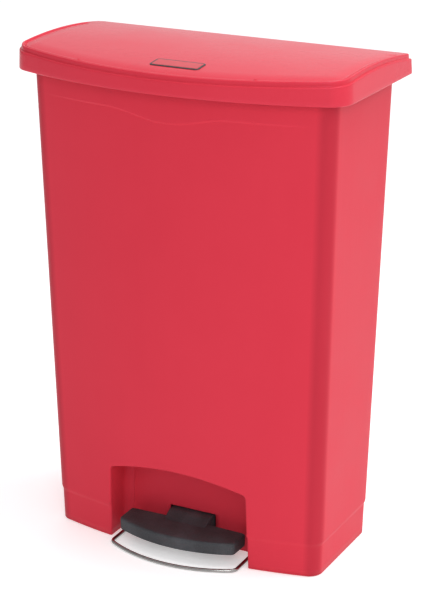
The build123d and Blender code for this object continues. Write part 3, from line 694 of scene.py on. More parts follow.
class Finishes:
    """Every finish of the bin, made once, by the name of its material slot."""

    def __init__(self) -> None:
        """Makes the materials."""
        red, pale_red = (0.58, 0.030, 0.050), (0.64, 0.040, 0.064)
        steel = (0.60, 0.61, 0.62)
        self.by_slot: dict[str, bpy.types.Material] = {
            "body_plastic": MouldedPlastic(red, pale_red, scuffs=0.6).material("body_plastic"),
            "lid_plastic": MouldedPlastic(red, pale_red, 0.29, flow=0.00012, gloss=0.2).material(
                "lid_plastic"
            ),
            "inner_plastic": MouldedPlastic((0.36, 0.008, 0.016), (0.42, 0.012, 0.022), 0.5).material(
                "inner_plastic"
            ),
            "bearing_plastic": MouldedPlastic((0.70, 0.68, 0.62), (0.76, 0.75, 0.70), 0.38).material(
                "bearing_plastic"
            ),
            "tread_plastic": SparkTexture().material("tread_plastic"),
            "badge": Enamel((0.50, 0.020, 0.034), (0.56, 0.028, 0.044), 0.55).material("badge"),
            "badge_rim": Enamel((0.010, 0.010, 0.011), (0.016, 0.016, 0.018), 0.6).material("badge_rim"),
            "zinc_steel": PlatedSteel(steel).material("zinc_steel"),
            "screw_steel": PlatedSteel((0.52, 0.53, 0.55), 0.3, (1.0, 1.0, 0.5), 0.7).material("screw_steel"),
            "pin_steel": PlatedSteel((0.64, 0.64, 0.65), 0.22, (0.05, 1.0, 1.0), 0.2).material("pin_steel"),
            "polished_wire": PlatedSteel((0.36, 0.36, 0.35), 0.2, (0.04, 0.04, 1.0), 0.3).material(
                "polished_wire"
            ),
            "damper_black": Enamel((0.012, 0.012, 0.013), (0.02, 0.02, 0.022), 0.36).material("damper_black"),
            "foot_rubber": Rubber().material("foot_rubber"),
        }

    def __getitem__(self, slot: str) -> bpy.types.Material:
        """The finish of a slot."""
        return self.by_slot[slot]

    def dress(self, nodes: dict[str, bpy.types.Object]) -> None:
        """Gives every carried-over node the finish of the slot that its own material names.

        Args:
            nodes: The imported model's objects, by node name.
        """
        for name, thing in nodes.items():
            for slot in thing.material_slots:
                base = slot.material.name.split(".")[0] if slot.material else ""
                slot.material = self.by_slot.get(base, self.by_slot["zinc_steel"])
            if not thing.material_slots:
                thing.data.materials.append(self.by_slot["zinc_steel"])
            log.info("%s: wears %s", name, thing.material_slots[0].material.name)


# ---------------------------------------------------------------- the body


@dataclass
class BodyShell:
    """The tapered outer shell with its set-back panel, rolled rim and pedal recess, in millimetres."""

    rim_z: float
    skirt_z: float
    half_top: float
    rear_top: float
    front_top: float
    low_z: float
    bow_top: float = 41.1
    bow_change: float = -4.9
    side_taper: float = 18.6
    rear_taper: float = 19.4
    front_taper: float = 18.0
    corner_radius: float = 26.0
    wall: float = 3.2
    rim_width: float = 14.0
    panel_depth: float = 2.2
    panel_half: float = 226.0
    band_drop: float = 36.5
    band_dip: float = 14.5
    band_dip_half: float = 108.0
    step_z: float = 57.0
    step_depth: float = 2.0
    recess_half: float = 124.0
    recess_spread: float = 4.0
    recess_top: float = 130.0
    recess_rise: float = 19.0
    recess_corner: float = 6.0
    recess_back: float = -45.0
    recess_back_radius: float = 14.0
    lip_radius: float = 3.6
    margin: float = 14.0
    slot_half: float = 42.0
    slot_low: float = 14.0
    slot_high: float = 56.0
    rod_gap_half: float = 14.0
    rod_gap_front: float = 100.0
    floor_z: float = 64.0
    floor_thickness: float = 4.0
    corner_steps: int = 12
    side_steps: int = 16
    arc_steps: int = 5

    @classmethod
    def from_frame(cls) -> "BodyShell":
        """Reads the shell's main sizes from the fitted frame.

        Returns:
            A shell whose rim, width and depth are the frame's.
        """
        low, high = box_mm("outer_shell")
        lid_low, _ = box_mm("lid_shell")
        top = cls(high[2], lid_low[2], 0.0, 0.0, 0.0, low[2])
        over = (top.rim_z - top.skirt_z) / top.skirt_z
        top.half_top = high[0] - top.rim_width - top.side_taper * over
        top.rear_top = high[1] - 1.0 - top.rear_taper * over
        top.front_top = low[1] + top.rim_width + top.front_taper * over
        return top

    def plan(self, z: Size) -> Outline:
        """The shell's outline at a height: each side runs in evenly from the rim to the floor."""
        down = 1 - z / self.skirt_z
        return Outline(
            half=self.half_top - self.side_taper * down,
            rear=self.rear_top - self.rear_taper * down,
            front=self.front_top + self.front_taper * down,
            bow=self.bow_top + self.bow_change * down,
            front_radius=self.corner_radius + 0 * down,
            rear_radius=self.corner_radius + 0 * down,
        )

    def step_inset(self, z: np.ndarray) -> np.ndarray:
        """How far the lowest part is set in: the full step below, running out smoothly over 9 mm."""
        return self.step_depth * smooth_step((self.step_z + 4.5 - z) / 9.0)

    def band_z(self, x: np.ndarray) -> np.ndarray:
        """The band's lower edge: level, with half a cosine wave's dip in the middle."""
        wave = 0.5 * (1 + np.cos(pi * np.clip(x / self.band_dip_half, -1, 1)))
        return self.skirt_z - self.band_drop - self.band_dip * wave

    def face_y(self, x: np.ndarray, z: np.ndarray) -> np.ndarray:
        """The front at a place across and a height.

        The arc, moved in by the base step, plus the panel's depth, which falls with the square of x
        towards its sides and comes in over 3 mm under the band.

        Args:
            x: Places across.
            z: Heights.

        Returns:
            Y of the surface.
        """
        plan = self.plan(z)
        arc = plan.arc()
        bowed = plan.front + arc - np.sqrt((arc - self.step_inset(z)) ** 2 - x**2)
        across = np.clip(1 - (x / self.panel_half) ** 2, 0.0, 1.0)
        return bowed + self.panel_depth * across * smooth_step((self.band_z(x) - z) / 3.2 + 0.5)

    def low_heights(self) -> np.ndarray:
        """The heights of the rows beside the recess, up to where the arch's corner starts."""
        step = self.step_z + np.array([-5.0, -3.5, -2.2, -1.0, 0.2, 1.4, 2.6, 4.0, 5.5])
        return np.concatenate([[self.low_z, self.slot_low, 26.0, 38.0, 46.0], step[:3], [55.9], step[4:]])

    def spans(self) -> np.ndarray:
        """The share of the way across of each point along the arch, with the slot's edges among them."""
        edge = self.slot_half / (self.recess_half - self.recess_back_radius - 0.5)
        middle = np.linspace(-edge, edge, 15)
        return np.concatenate([np.linspace(-1.0, -edge, 9)[:-1], middle, np.linspace(edge, 1.0, 9)[1:]])

    def mouth(self, grow: float) -> np.ndarray:
        """The recess's edge, grown by a distance, with round upper corners.

        It goes up the left edge, across the top and down the right, in flat coordinates: before the
        arch lifts its middle and the sides lean.

        Args:
            grow: How far outside the opening it lies, or inside it if it is below 0.

        Returns:
            Points across and up.
        """
        radius = max(self.recess_corner + grow, 0.5)
        inner_x = self.recess_half + grow - radius
        inner_z = self.recess_top + grow - radius
        low = self.low_heights()
        rise = np.concatenate([low, np.linspace(low[-1], inner_z, 7)[1:]])
        upright = np.stack([np.full(len(rise), -self.recess_half - grow), rise], -1)
        turn = np.linspace(0.0, 0.5 * pi, 2 * self.arc_steps + 1)[1:-1]
        bend = np.stack([-inner_x - radius * np.cos(turn), inner_z + radius * np.sin(turn)], -1)
        top = np.stack([self.spans() * inner_x, np.full(len(self.spans()), self.recess_top + grow)], -1)
        left = np.concatenate([upright, bend])
        return np.concatenate([left, top, left[::-1] * np.array([-1.0, 1.0])])

    def square_mouth(self) -> np.ndarray:
        """The mouth's square frame, where the ring round it joins the wall's rows and columns.

        Returns:
            Points across and up, as many as the mouth has.
        """
        out = self.recess_half + self.margin
        top = self.recess_top + self.margin
        inner_x = self.recess_half - self.recess_corner
        inner_z = self.recess_top - self.recess_corner
        low = self.low_heights()
        rise = np.concatenate([low, np.linspace(low[-1], inner_z, 7)[1:]])
        rise = np.concatenate([rise, np.linspace(inner_z, top, self.arc_steps + 1)[1:]])
        upright = np.stack([np.full(len(rise), -out), rise], -1)
        run = np.linspace(-out, -inner_x, self.arc_steps + 1)[1:-1]
        bend = np.stack([run, np.full(len(run), top)], -1)
        spans = np.stack([self.spans() * inner_x, np.full(len(self.spans()), top)], -1)
        left = np.concatenate([upright, bend])
        return np.concatenate([left, spans, left[::-1] * np.array([-1.0, 1.0])])

    def stretched(self, flat: np.ndarray) -> tuple[np.ndarray, np.ndarray]:
        """Turns flat coordinates into places across and heights.

        The sides lean out evenly towards the floor, and the arch lifts the middle by its rise less
        the rise times the square of the share across, above the slot only.

        Args:
            flat: Points across and up, before the arch and the lean.

        Returns:
            The places across, and the heights.
        """
        across, up = flat[..., 0], flat[..., 1]
        lean = self.recess_spread * (1 - np.clip((up + 20.0) / (self.recess_top + 20.0), 0.0, 1.0))
        x = across * (1 + lean / self.recess_half)
        rise = self.recess_rise * (1 - np.clip(across / self.recess_half, -1.0, 1.0) ** 2)
        return x, up + rise * smooth_step((up - self.slot_high - 4) / (self.recess_top - self.slot_high - 4))

    def front_columns(self, rows: np.ndarray) -> np.ndarray:
        """X of the columns on the front arc, for each row height.

        Args:
            rows: The rows' heights.

        Returns:
            A row of places across for each height.
        """
        plan = self.plan(rows[:, None]).inset(self.step_inset(rows[:, None]))
        flat = self.square_mouth()
        top = flat[np.isclose(flat[:, 1], self.recess_top + self.margin)][:, 0]
        middle, _ = self.stretched(np.stack(np.broadcast_arrays(top[None, :], rows[:, None]), -1))
        share = np.linspace(0.0, 1.0, 13)[None, :-1]
        left = -plan.touch_x() + (middle[:, :1] + plan.touch_x()) * share
        return np.concatenate([left, middle, -left[:, ::-1]], axis=1)

    def wall_rows(self, rows: np.ndarray) -> np.ndarray:
        """The wall's plan at each row height, once round.

        Args:
            rows: The rows' heights.

        Returns:
            Rows of points in X and Y.
        """
        columns = self.front_columns(rows)
        plan = self.plan(rows).inset(self.step_inset(rows))
        return plan.loop(columns, self.corner_steps, self.side_steps, columns.shape[1] - 1)

    def upper_wall(self) -> np.ndarray:
        """The wall from above the recess to the rim, with rows that follow the arch and the band."""
        start = self.recess_top + self.margin
        band = self.skirt_z - self.band_drop
        edge = np.array([-2.4, -1.6, -1.0, -0.5, 0.0, 0.5, 1.0, 1.6, 2.4])
        shares = np.linspace(0.0, 1.0, 37)
        flat_rows = np.concatenate([start + (band - 3.4 - start) * shares, band + edge])
        to_skirt = np.linspace(band + 3.4, self.skirt_z, 5)
        high = np.concatenate([to_skirt, [self.skirt_z + 4, self.rim_z - 6.0]])
        rows = np.concatenate([flat_rows, high])
        plan = self.wall_rows(rows)
        x = plan[..., 0]
        front = np.zeros(x.shape[1], bool)
        half_corner = self.corner_steps // 2
        front[half_corner : half_corner + self.front_columns(rows[:1]).shape[1]] = True
        _, arched = self.stretched(np.stack([x[:1], np.full_like(x[:1], start)], -1))
        lift = np.where(front[None], arched - start, 0.0)
        dip = np.where(front[None], self.band_z(x) - band, 0.0)
        t = np.clip((rows[:, None] - start) / (band - 3.4 - start), 0.0, 1.0)
        fade = np.clip((self.skirt_z - rows[:, None]) / (self.skirt_z - band - 3.4), 0.0, 1.0)
        z = rows[:, None] + lift * (1 - t) + dip * np.where(rows[:, None] > band + 3, fade, t)
        y = np.where(front[None], self.face_y(x, z), plan[..., 1])
        return np.stack([x, y, z], -1)

    def rim(self, last: np.ndarray) -> np.ndarray:
        """The rolled rim: the outline runs out past the wall and back under itself.

        Args:
            last: The wall's last row.

        Returns:
            Rows of points from the wall's last row outwards.
        """
        out = np.array([0.0, 0.3, 1.2, 2.8, 7.0, 11.5, self.rim_width - 0.4, self.rim_width])
        drop = np.array([5.0, 4.2, 3.7, 3.5, 3.5, 3.5, 3.7, 4.6])
        rows = self.rim_z - drop
        plan = self.plan(rows).inset(-out)
        plan = replace(plan, rear=self.plan(rows).rear + out / self.rim_width)
        columns = self.front_columns(rows)
        columns = columns * (plan.touch_x() / columns[:, -1])[:, None]
        loop = plan.loop(columns, self.corner_steps, self.side_steps, columns.shape[1] - 1)
        return np.concatenate([last[None], lifted(loop, rows[:, None])])

    def recess_skin(self) -> list[np.ndarray]:
        """The ring round the recess, its rounded lip, its walls and the bend into its back.

        The lip is a quarter of a circle: it draws in with one less the sine of its turn, and goes
        back with one less the cosine.

        Returns:
            Grids whose rows run from the front into the recess.
        """
        square, mouth = self.square_mouth(), self.mouth(self.lip_radius)
        share = np.linspace(0.0, 1.0, 5)[:, None, None]
        x, z = self.stretched(square + (mouth - square) * share)
        ring = np.stack([x, self.face_y(x, z), z], -1)
        turns = np.linspace(0.0, 0.5 * pi, 7)
        lip = []
        for turn in turns:
            x, z = self.stretched(self.mouth(self.lip_radius * (1 - sin(turn))))
            lip.append(np.stack([x, self.face_y(x, z) + self.lip_radius * (1 - cos(turn)), z], -1))
        edge = lip[-1]
        straight = self.recess_back - self.recess_back_radius
        share = np.linspace(0.0, 1.0, 6)[:, None]
        back = edge[:, 1] + (straight - edge[:, 1]) * share
        walls = np.stack(np.broadcast_arrays(edge[:, 0], back, edge[:, 2]), -1)
        bend = []
        for turn in np.linspace(0.0, 0.5 * pi, 8):
            x, z = self.stretched(self.mouth(-self.recess_back_radius * (1 - cos(turn))))
            bend.append(np.stack([x, np.full_like(x, straight + self.recess_back_radius * sin(turn)), z], -1))
        return [ring, np.array(lip), walls, np.array(bend)]

    def recess_end(self) -> tuple[np.ndarray, np.ndarray]:
        """The recess's back wall, and which of its quads stay round the arm's slot.

        Returns:
            The grid, from the floor up and from left to right, and the quads to keep.
        """
        edge = self.mouth(-self.recess_back_radius)
        rise = (len(edge) - len(self.spans()) - 2 * (self.arc_steps - 1)) // 2
        upright = rise
        left = edge[:upright]
        top = edge[upright - 1 : len(edge) - upright + 1]
        across = np.broadcast_to(top[:, 0], (upright, len(top)))
        up = np.broadcast_to(left[:, 1:2], across.shape)
        flat = np.stack([across, up], -1)
        x, z = self.stretched(flat)
        middle_x = 0.25 * (x[:-1, :-1] + x[1:, :-1] + x[:-1, 1:] + x[1:, 1:])
        middle_z = 0.25 * (z[:-1, :-1] + z[1:, :-1] + z[:-1, 1:] + z[1:, 1:])
        hole = (np.abs(middle_x) < self.slot_half) & (middle_z > self.slot_low) & (middle_z < self.slot_high)
        return np.stack([x, np.full_like(x, self.recess_back), z], -1), ~hole

    def corner_share(self, places: np.ndarray) -> np.ndarray:
        """How far round a front corner each point lies: twice the product of its two run-outs.

        Args:
            places: Points.

        Returns:
            From 0 on the flat sides to 1 in the middle of a corner.
        """
        plan = self.plan(places[:, 2])
        across = (np.abs(places[:, 0]) - plan.half + self.corner_radius) / self.corner_radius
        ahead = (plan.corner_y() - places[:, 1]) / self.corner_radius
        return smooth_step(np.clip(across, 0, 1) * np.clip(ahead, 0, 1) * 2.4)

    def build(self, finishes: Finishes) -> bpy.types.Object:
        """Builds the shell and dresses it.

        Args:
            finishes: The bin's finishes.

        Returns:
            The shell's object.
        """
        skin = Skin()
        upper = self.upper_wall()
        skin.grid(upper, wrap=True)
        skin.grid(self.rim(upper[-1]), wrap=True)
        square = self.square_mouth()
        low_rows = square[np.isclose(square[:, 0], -self.recess_half - self.margin)][:, 1]
        plan = self.wall_rows(low_rows)
        z = np.broadcast_to(low_rows[:, None], plan.shape[:2])
        half_corner = self.corner_steps // 2
        count = self.front_columns(low_rows[:1]).shape[1]
        y = plan[..., 1].copy()
        span = slice(half_corner, half_corner + count)
        y[:, span] = self.face_y(plan[:, span, 0], z[:, span])
        lower = np.stack([plan[..., 0], y, z], -1)
        first, last = half_corner + 12, half_corner + count - 13
        skin.grid(np.concatenate([lower[:, last:], lower[:, : first + 1]], axis=1))
        for grid in self.recess_skin():
            skin.grid(grid, flip=True)
        end, keep = self.recess_end()
        skin.grid(end, keep=keep)
        shell = skin.piece("outer_shell_skin", closed=False)
        # Painted shade: deepens the shell's colour round its front corners.
        mark_painted_corner_shade(shell, self.corner_share(points_mm(shell)))
        thick = shell.modifiers.new("wall", "SOLIDIFY")
        thick.thickness = self.wall * MM
        thick.offset = -1.0
        thick.use_even_offset = True
        settle(shell, Body.ROOT, "body_plastic", finishes["body_plastic"], "outer_shell")
        return shell

    def build_inside(self, finishes: Finishes) -> bpy.types.Object:
        """Builds the inner floor round the recess, and the pads behind the hinge blocks.

        Args:
            finishes: The bin's finishes.

        Returns:
            The piece's object.
        """
        skin = Skin()
        half_wall = 0.5 * self.wall
        rows = np.array([self.floor_z])
        columns = self.front_columns(rows)
        plan = self.plan(rows).inset(half_wall)
        loop = plan.loop(columns * 0.985, self.corner_steps, self.side_steps, 40)[0]
        half = self.recess_half + half_wall + 2.0
        rear = self.recess_back + half_wall
        front = (np.abs(loop[:, 0]) < half) & (loop[:, 1] < rear)
        after = np.roll(loop, -int(np.argmax(front)), axis=0)
        outer = after[~((np.abs(after[:, 0]) < half) & (after[:, 1] < rear))]
        behind = outer[:, 1] > self.rod_gap_front
        cross = int(np.argmax(behind[:-1] & (outer[:-1, 0] * outer[1:, 0] <= 0))) + 1
        side, edge = float(np.sign(outer[cross - 1, 0])) * self.rod_gap_half, float(outer[cross, 1])
        gap = np.array([[side, edge], [side, self.rod_gap_front], [-side, self.rod_gap_front], [-side, edge]])
        clear = ~(behind & (np.abs(outer[:, 0]) < self.rod_gap_half))
        outer = np.concatenate([outer[:cross][clear[:cross]], gap, outer[cross:][clear[cross:]]])
        face = float(self.plan(rows).front_y(half)[0]) + 1.0
        notch = np.array([[-half, face], [-half, rear], [half, rear], [half, face]])
        skin.plate(lifted(np.concatenate([outer, notch]), np.array(self.floor_z)), self.floor_thickness)
        for node in ("hinge_block_left", "hinge_block_right"):
            low, high = box_mm(node)
            corners = np.array([[low[0] - 2, high[1] + 0.1], [high[0] + 2, high[1] + 0.1]])
            wall_y = float(self.plan(low[2]).rear) - 1.0
            pad = np.concatenate([corners, [[high[0] + 2, wall_y], [low[0] - 2, wall_y]]])
            skin.plate(lifted(pad, np.array(high[2] + 2.0)), high[2] - low[2] + 4.0)
        inside = skin.piece("inner_floor_and_pads")
        settle(inside, Body.ROOT, "body_plastic", finishes["body_plastic"])
        return inside


# ---------------------------------------------------------------- the lid


@dataclass
class LidShell:
    """The crowned lid: a rolled panel, a groove and bead, a ledge and a drafted skirt, in millimetres."""

    half: float
    half_depth: float
    low_z: float
    top_z: float
    bow: float = 56.5
    front_radius: float = 40.0
    rear_radius: float = 13.0
    crown_rise: float = 13.3
    groove_end: float = 104.0
    roll_width: float = 36.0
    roll_drop: float = 2.6
    under: float = 4.0
    corner_steps: int = 16
    side_steps: int = 26
    front_steps: int = 60

    @classmethod
    def from_frame(cls) -> "LidShell":
        """Reads the lid's main sizes from the fitted frame."""
        low, high = box_mm("lid_shell")
        return cls(high[0], high[1], low[2], high[2])

    def outline(self, inset: Size) -> Outline:
        """The lid's outline, moved in by a distance."""
        inset = np.asarray(inset, float)
        plan = Outline(
            self.half, self.half_depth, -self.half_depth, self.bow, self.front_radius, self.rear_radius
        ).inset(inset)
        return replace(plan, rear_radius=np.maximum(self.rear_radius - 0.35 * inset, 2.5))

    def crown(self, y: np.ndarray) -> np.ndarray:
        """The crown's height: a circle's arc from front to back, level across."""
        radius = (self.half_depth**2 + self.crown_rise**2) / (2 * self.crown_rise)
        return self.top_z - radius + np.sqrt(radius**2 - np.clip(y, -self.half_depth, self.half_depth) ** 2)

    def profile(self) -> np.ndarray:
        """The wall's section, from under the crown, down inside, round the lip, up and over the ledge.

        Returns:
            Rows of: distance in, share of the height up to the crown, added height, and added
            height that fades out behind the groove's end.
        """
        inside = [
            (22.0, 1.0, -4.0, 0.0), (16.0, 1.0, -4.2, 0.0), (12.0, 1.0, -4.8, 0.0), (10.0, 1.0, -5.8, 0.0),
            (9.0, 1.0, -7.6, 0.0), (8.8, 1.0, -10.4, 0.0), (8.5, 1.0, -11.4, 0.0), (7.6, 1.0, -11.8, 0.0),
            (5.4, 1.0, -11.9, 0.0), (4.6, 1.0, -12.3, 0.0), (4.3, 1.0, -13.2, 0.0), (4.15, 0.55, -3.0, 0.0),
        ]
        lip = [
            (4.05, 0.0, 2.4, 0.0), (3.75, 0.0, 0.9, 0.0), (3.0, 0.0, 0.18, 0.0), (2.0, 0.0, 0.0, 0.0),
            (0.95, 0.0, 0.18, 0.0), (0.28, 0.0, 0.9, 0.0), (0.05, 0.0, 2.2, 0.0),
        ]
        skirt = [(0.05 + 1.15 * t, t, 2.2 - 11.3 * t, 0.0) for t in (0.2, 0.4, 0.6, 0.8, 0.94)]
        ledge = [
            (1.3, 1.0, -8.8, 0.0), (1.5, 1.0, -8.15, 0.0), (1.95, 1.0, -7.72, 0.0), (2.6, 1.0, -7.6, 0.0),
            (3.7, 1.0, -7.6, 0.0), (4.3, 1.0, -7.45, 0.0), (4.65, 1.0, -6.9, 0.0), (4.75, 1.0, -5.4, 0.0),
            (4.85, 1.0, -2.4, 0.0), (5.0, 1.0, -1.2, 0.0), (5.4, 1.0, -0.5, 0.0), (6.1, 1.0, -0.14, 0.0),
        ]
        groove = [
            (6.9, 1.0, 0.0, -0.05), (7.7, 1.0, 0.0, -0.3), (8.4, 1.0, 0.0, -0.95), (8.9, 1.0, 0.0, -2.0),
            (9.4, 1.0, 0.0, -3.0), (10.1, 1.0, 0.0, -3.5), (10.9, 1.0, 0.0, -3.45), (11.5, 1.0, 0.0, -2.9),
            (12.1, 1.0, 0.0, -2.2), (12.9, 1.0, 0.0, -1.75),
        ]
        distances = np.array([14.4, 16.5, 19.0, 22.0, 25.0, 28.5, 32.0, self.roll_width])
        drop = -self.roll_drop * ((self.roll_width - distances) / (self.roll_width - 12.5)) ** 2
        ones = np.ones_like(distances)
        roll = np.stack([distances, ones, 0 * ones, drop], -1)
        return np.concatenate([np.array(inside + lip + skirt + ledge + groove), roll])

    def rings(self) -> np.ndarray:
        """The section carried round the outline, as rows of points."""
        section = self.profile()
        plan = self.outline(section[:, 0])
        spread = np.linspace(-1.0, 1.0, self.front_steps + 1)[None, :]
        columns = plan.touch_x()[:, None] * spread
        loop = plan.loop(columns, self.corner_steps, self.side_steps, self.front_steps)
        y = loop[..., 1]
        fade = 1 - smooth_step((y - self.groove_end + 8.0) / 14.0)
        share, add, fading = (section[:, i : i + 1] for i in (1, 2, 3))
        z = self.low_z + share * (self.crown(y) - self.low_z) + add + fading * fade
        return lifted(loop, z)

    def build(self, finishes: Finishes) -> bpy.types.Object:
        """Builds the lid with the posts that the arms and bumpers are fixed to.

        Args:
            finishes: The bin's finishes.

        Returns:
            The lid's object.
        """
        skin = Skin()
        rings = self.rings()
        skin.grid(rings, wrap=True)
        across = self.front_steps + self.corner_steps
        along = self.side_steps + self.corner_steps
        for row, drop, flip in ((rings[-1], 0.0, False), (rings[0], self.under, True)):
            plan = filled(row[:, :2], across, along)
            z = self.crown(plan[..., 1]) - drop
            grid = lifted(plan, z)
            edge = np.ones(z.shape, bool)
            edge[1:-1, 1:-1] = False
            grid[edge, 2] = self.edge_heights(grid[edge], row)
            skin.grid(grid, flip=flip)
        for node, places in self.posts().items():
            low = box_mm(node)[0][2] if node == "lid_bumpers" else box_mm(node)[1][2]
            for x, y, radius in places:
                start = box_mm(node)[1][2] - 1.0 if node == "lid_bumpers" else low
                skin.column(x, y, radius, start, float(self.crown(np.array(y))) - 0.5 * self.under)
        lid = skin.piece("lid_shell_skin")
        settle(lid, Body.LID, "lid_plastic", finishes["lid_plastic"], "lid_shell")
        return lid

    @staticmethod
    def edge_heights(points: np.ndarray, ring: np.ndarray) -> np.ndarray:
        """The heights of a ring's points at the same places.

        Args:
            points: Points on the ring, in any order.
            ring: The ring.

        Returns:
            A height for each point.
        """
        gaps = np.abs(points[:, None, :2] - ring[None, :, :2]).sum(-1)
        return ring[np.argmin(gaps, axis=1), 2]

    def posts(self) -> dict[str, list[tuple[float, float, float]]]:
        """Where the posts under the lid stand: X, Y and radius, by the node that each one meets."""
        places: dict[str, list[tuple[float, float, float]]] = {}
        for node in ("hinge_arm_left", "hinge_arm_right", "lid_lever"):
            low, high = box_mm(node)
            x = 0.5 * (low[0] + high[0])
            places[node] = [(x, low[1] + 7.0, 6.0), (x, low[1] + 43.0, 6.0)]
        low, high = box_mm("lid_bumpers")
        places["lid_bumpers"] = [
            (side * (high[0] - 5.0), 40.0, 5.0) for side in (-1, 1)
        ] + [(side * 150.0, low[1] + 5.0, 5.0) for side in (-1, 1)]
        return places


@dataclass
class Badge:
    """A plain plate with rounded corners on the lid: a dark rim round a red field, in millimetres."""

    middle: tuple[float, float]
    half: float
    half_width: float
    stand: float = 1.1
    rim: float = 3.2
    corner: float = 6.0
    corner_steps: int = 8
    run_steps: int = 40
    side_steps: int = 12

    @classmethod
    def from_frame(cls) -> "Badge":
        """Reads the badge's place and size from the fitted frame."""
        low, high = box_mm("lid_badge")
        middle = 0.5 * (low + high)
        return cls((middle[0], middle[1]), 0.5 * (high[0] - low[0]), 0.5 * (high[1] - low[1]))

    def loop(self, inset: float) -> np.ndarray:
        """The plate's outline moved in: four straight runs joined by round corners, once round.

        Args:
            inset: How far in.

        Returns:
            Points in X and Y from the front left corner.
        """
        radius = max(self.corner - inset, 1.0)
        reach = np.array([self.half, self.half_width]) - inset - radius
        quarter = np.linspace(0.0, 0.5 * pi, self.corner_steps + 1)[:-1]
        across = np.linspace(-reach[0], reach[0], self.run_steps + 1)[:-1]
        up = np.linspace(-reach[1], reach[1], self.side_steps + 1)[:-1]
        front = np.stack([across, np.full_like(across, -reach[1] - radius)], -1)
        low = reach * np.array([1.0, -1.0]) + radius * np.stack([np.sin(quarter), -np.cos(quarter)], -1)
        side = np.stack([np.full_like(up, reach[0] + radius), up], -1)
        high = reach + radius * np.stack([np.cos(quarter), np.sin(quarter)], -1)
        half_way = np.concatenate([front, low, side, high])
        whole = np.concatenate([half_way, -half_way])
        return np.roll(whole, self.corner_steps // 2, axis=0) + np.array(self.middle)

    def build(self, lid: LidShell, finishes: Finishes) -> list[bpy.types.Object]:
        """Builds the rim and the field as two closed plates.

        Args:
            lid: The lid that the badge lies on.
            finishes: The bin's finishes.

        Returns:
            The rim and the field.
        """
        made = []
        parts = (
            ("badge_rim", 0.0, self.stand, 0.7, "badge_rim", ("lid_badge",)),
            ("badge_field", self.rim, self.stand + 0.35, 0.5, "badge", ()),
        )
        for name, inset, stand, round_off, finish, nodes in parts:
            skin = Skin()
            insets = inset + round_off * np.array([0.0, 0.0, 0.08, 0.35, 0.7, 1.0])
            edge = round_off * np.array([-1.0, -0.6, -0.2])
            raised = stand + np.concatenate([[-stand - 1.0], edge, [-0.04, 0.0]])
            loops = np.stack([self.loop(value) for value in insets])
            rings = lifted(loops, lid.crown(loops[..., 1]) + raised[:, None])
            skin.grid(rings, wrap=True)
            across, along = self.run_steps + self.corner_steps, self.side_steps + self.corner_steps
            for ring, height, flip in ((rings[-1], raised[-1], False), (rings[0], raised[0], True)):
                plan = filled(ring[:, :2], across, along)
                skin.grid(lifted(plan, lid.crown(plan[..., 1]) + height), flip=flip)
            plate = skin.piece(name)
            settle(plate, Body.LID, "badge", finishes[finish], *nodes)
            made.append(plate)
        return made


# ---------------------------------------------------------------- the pedal and the loop


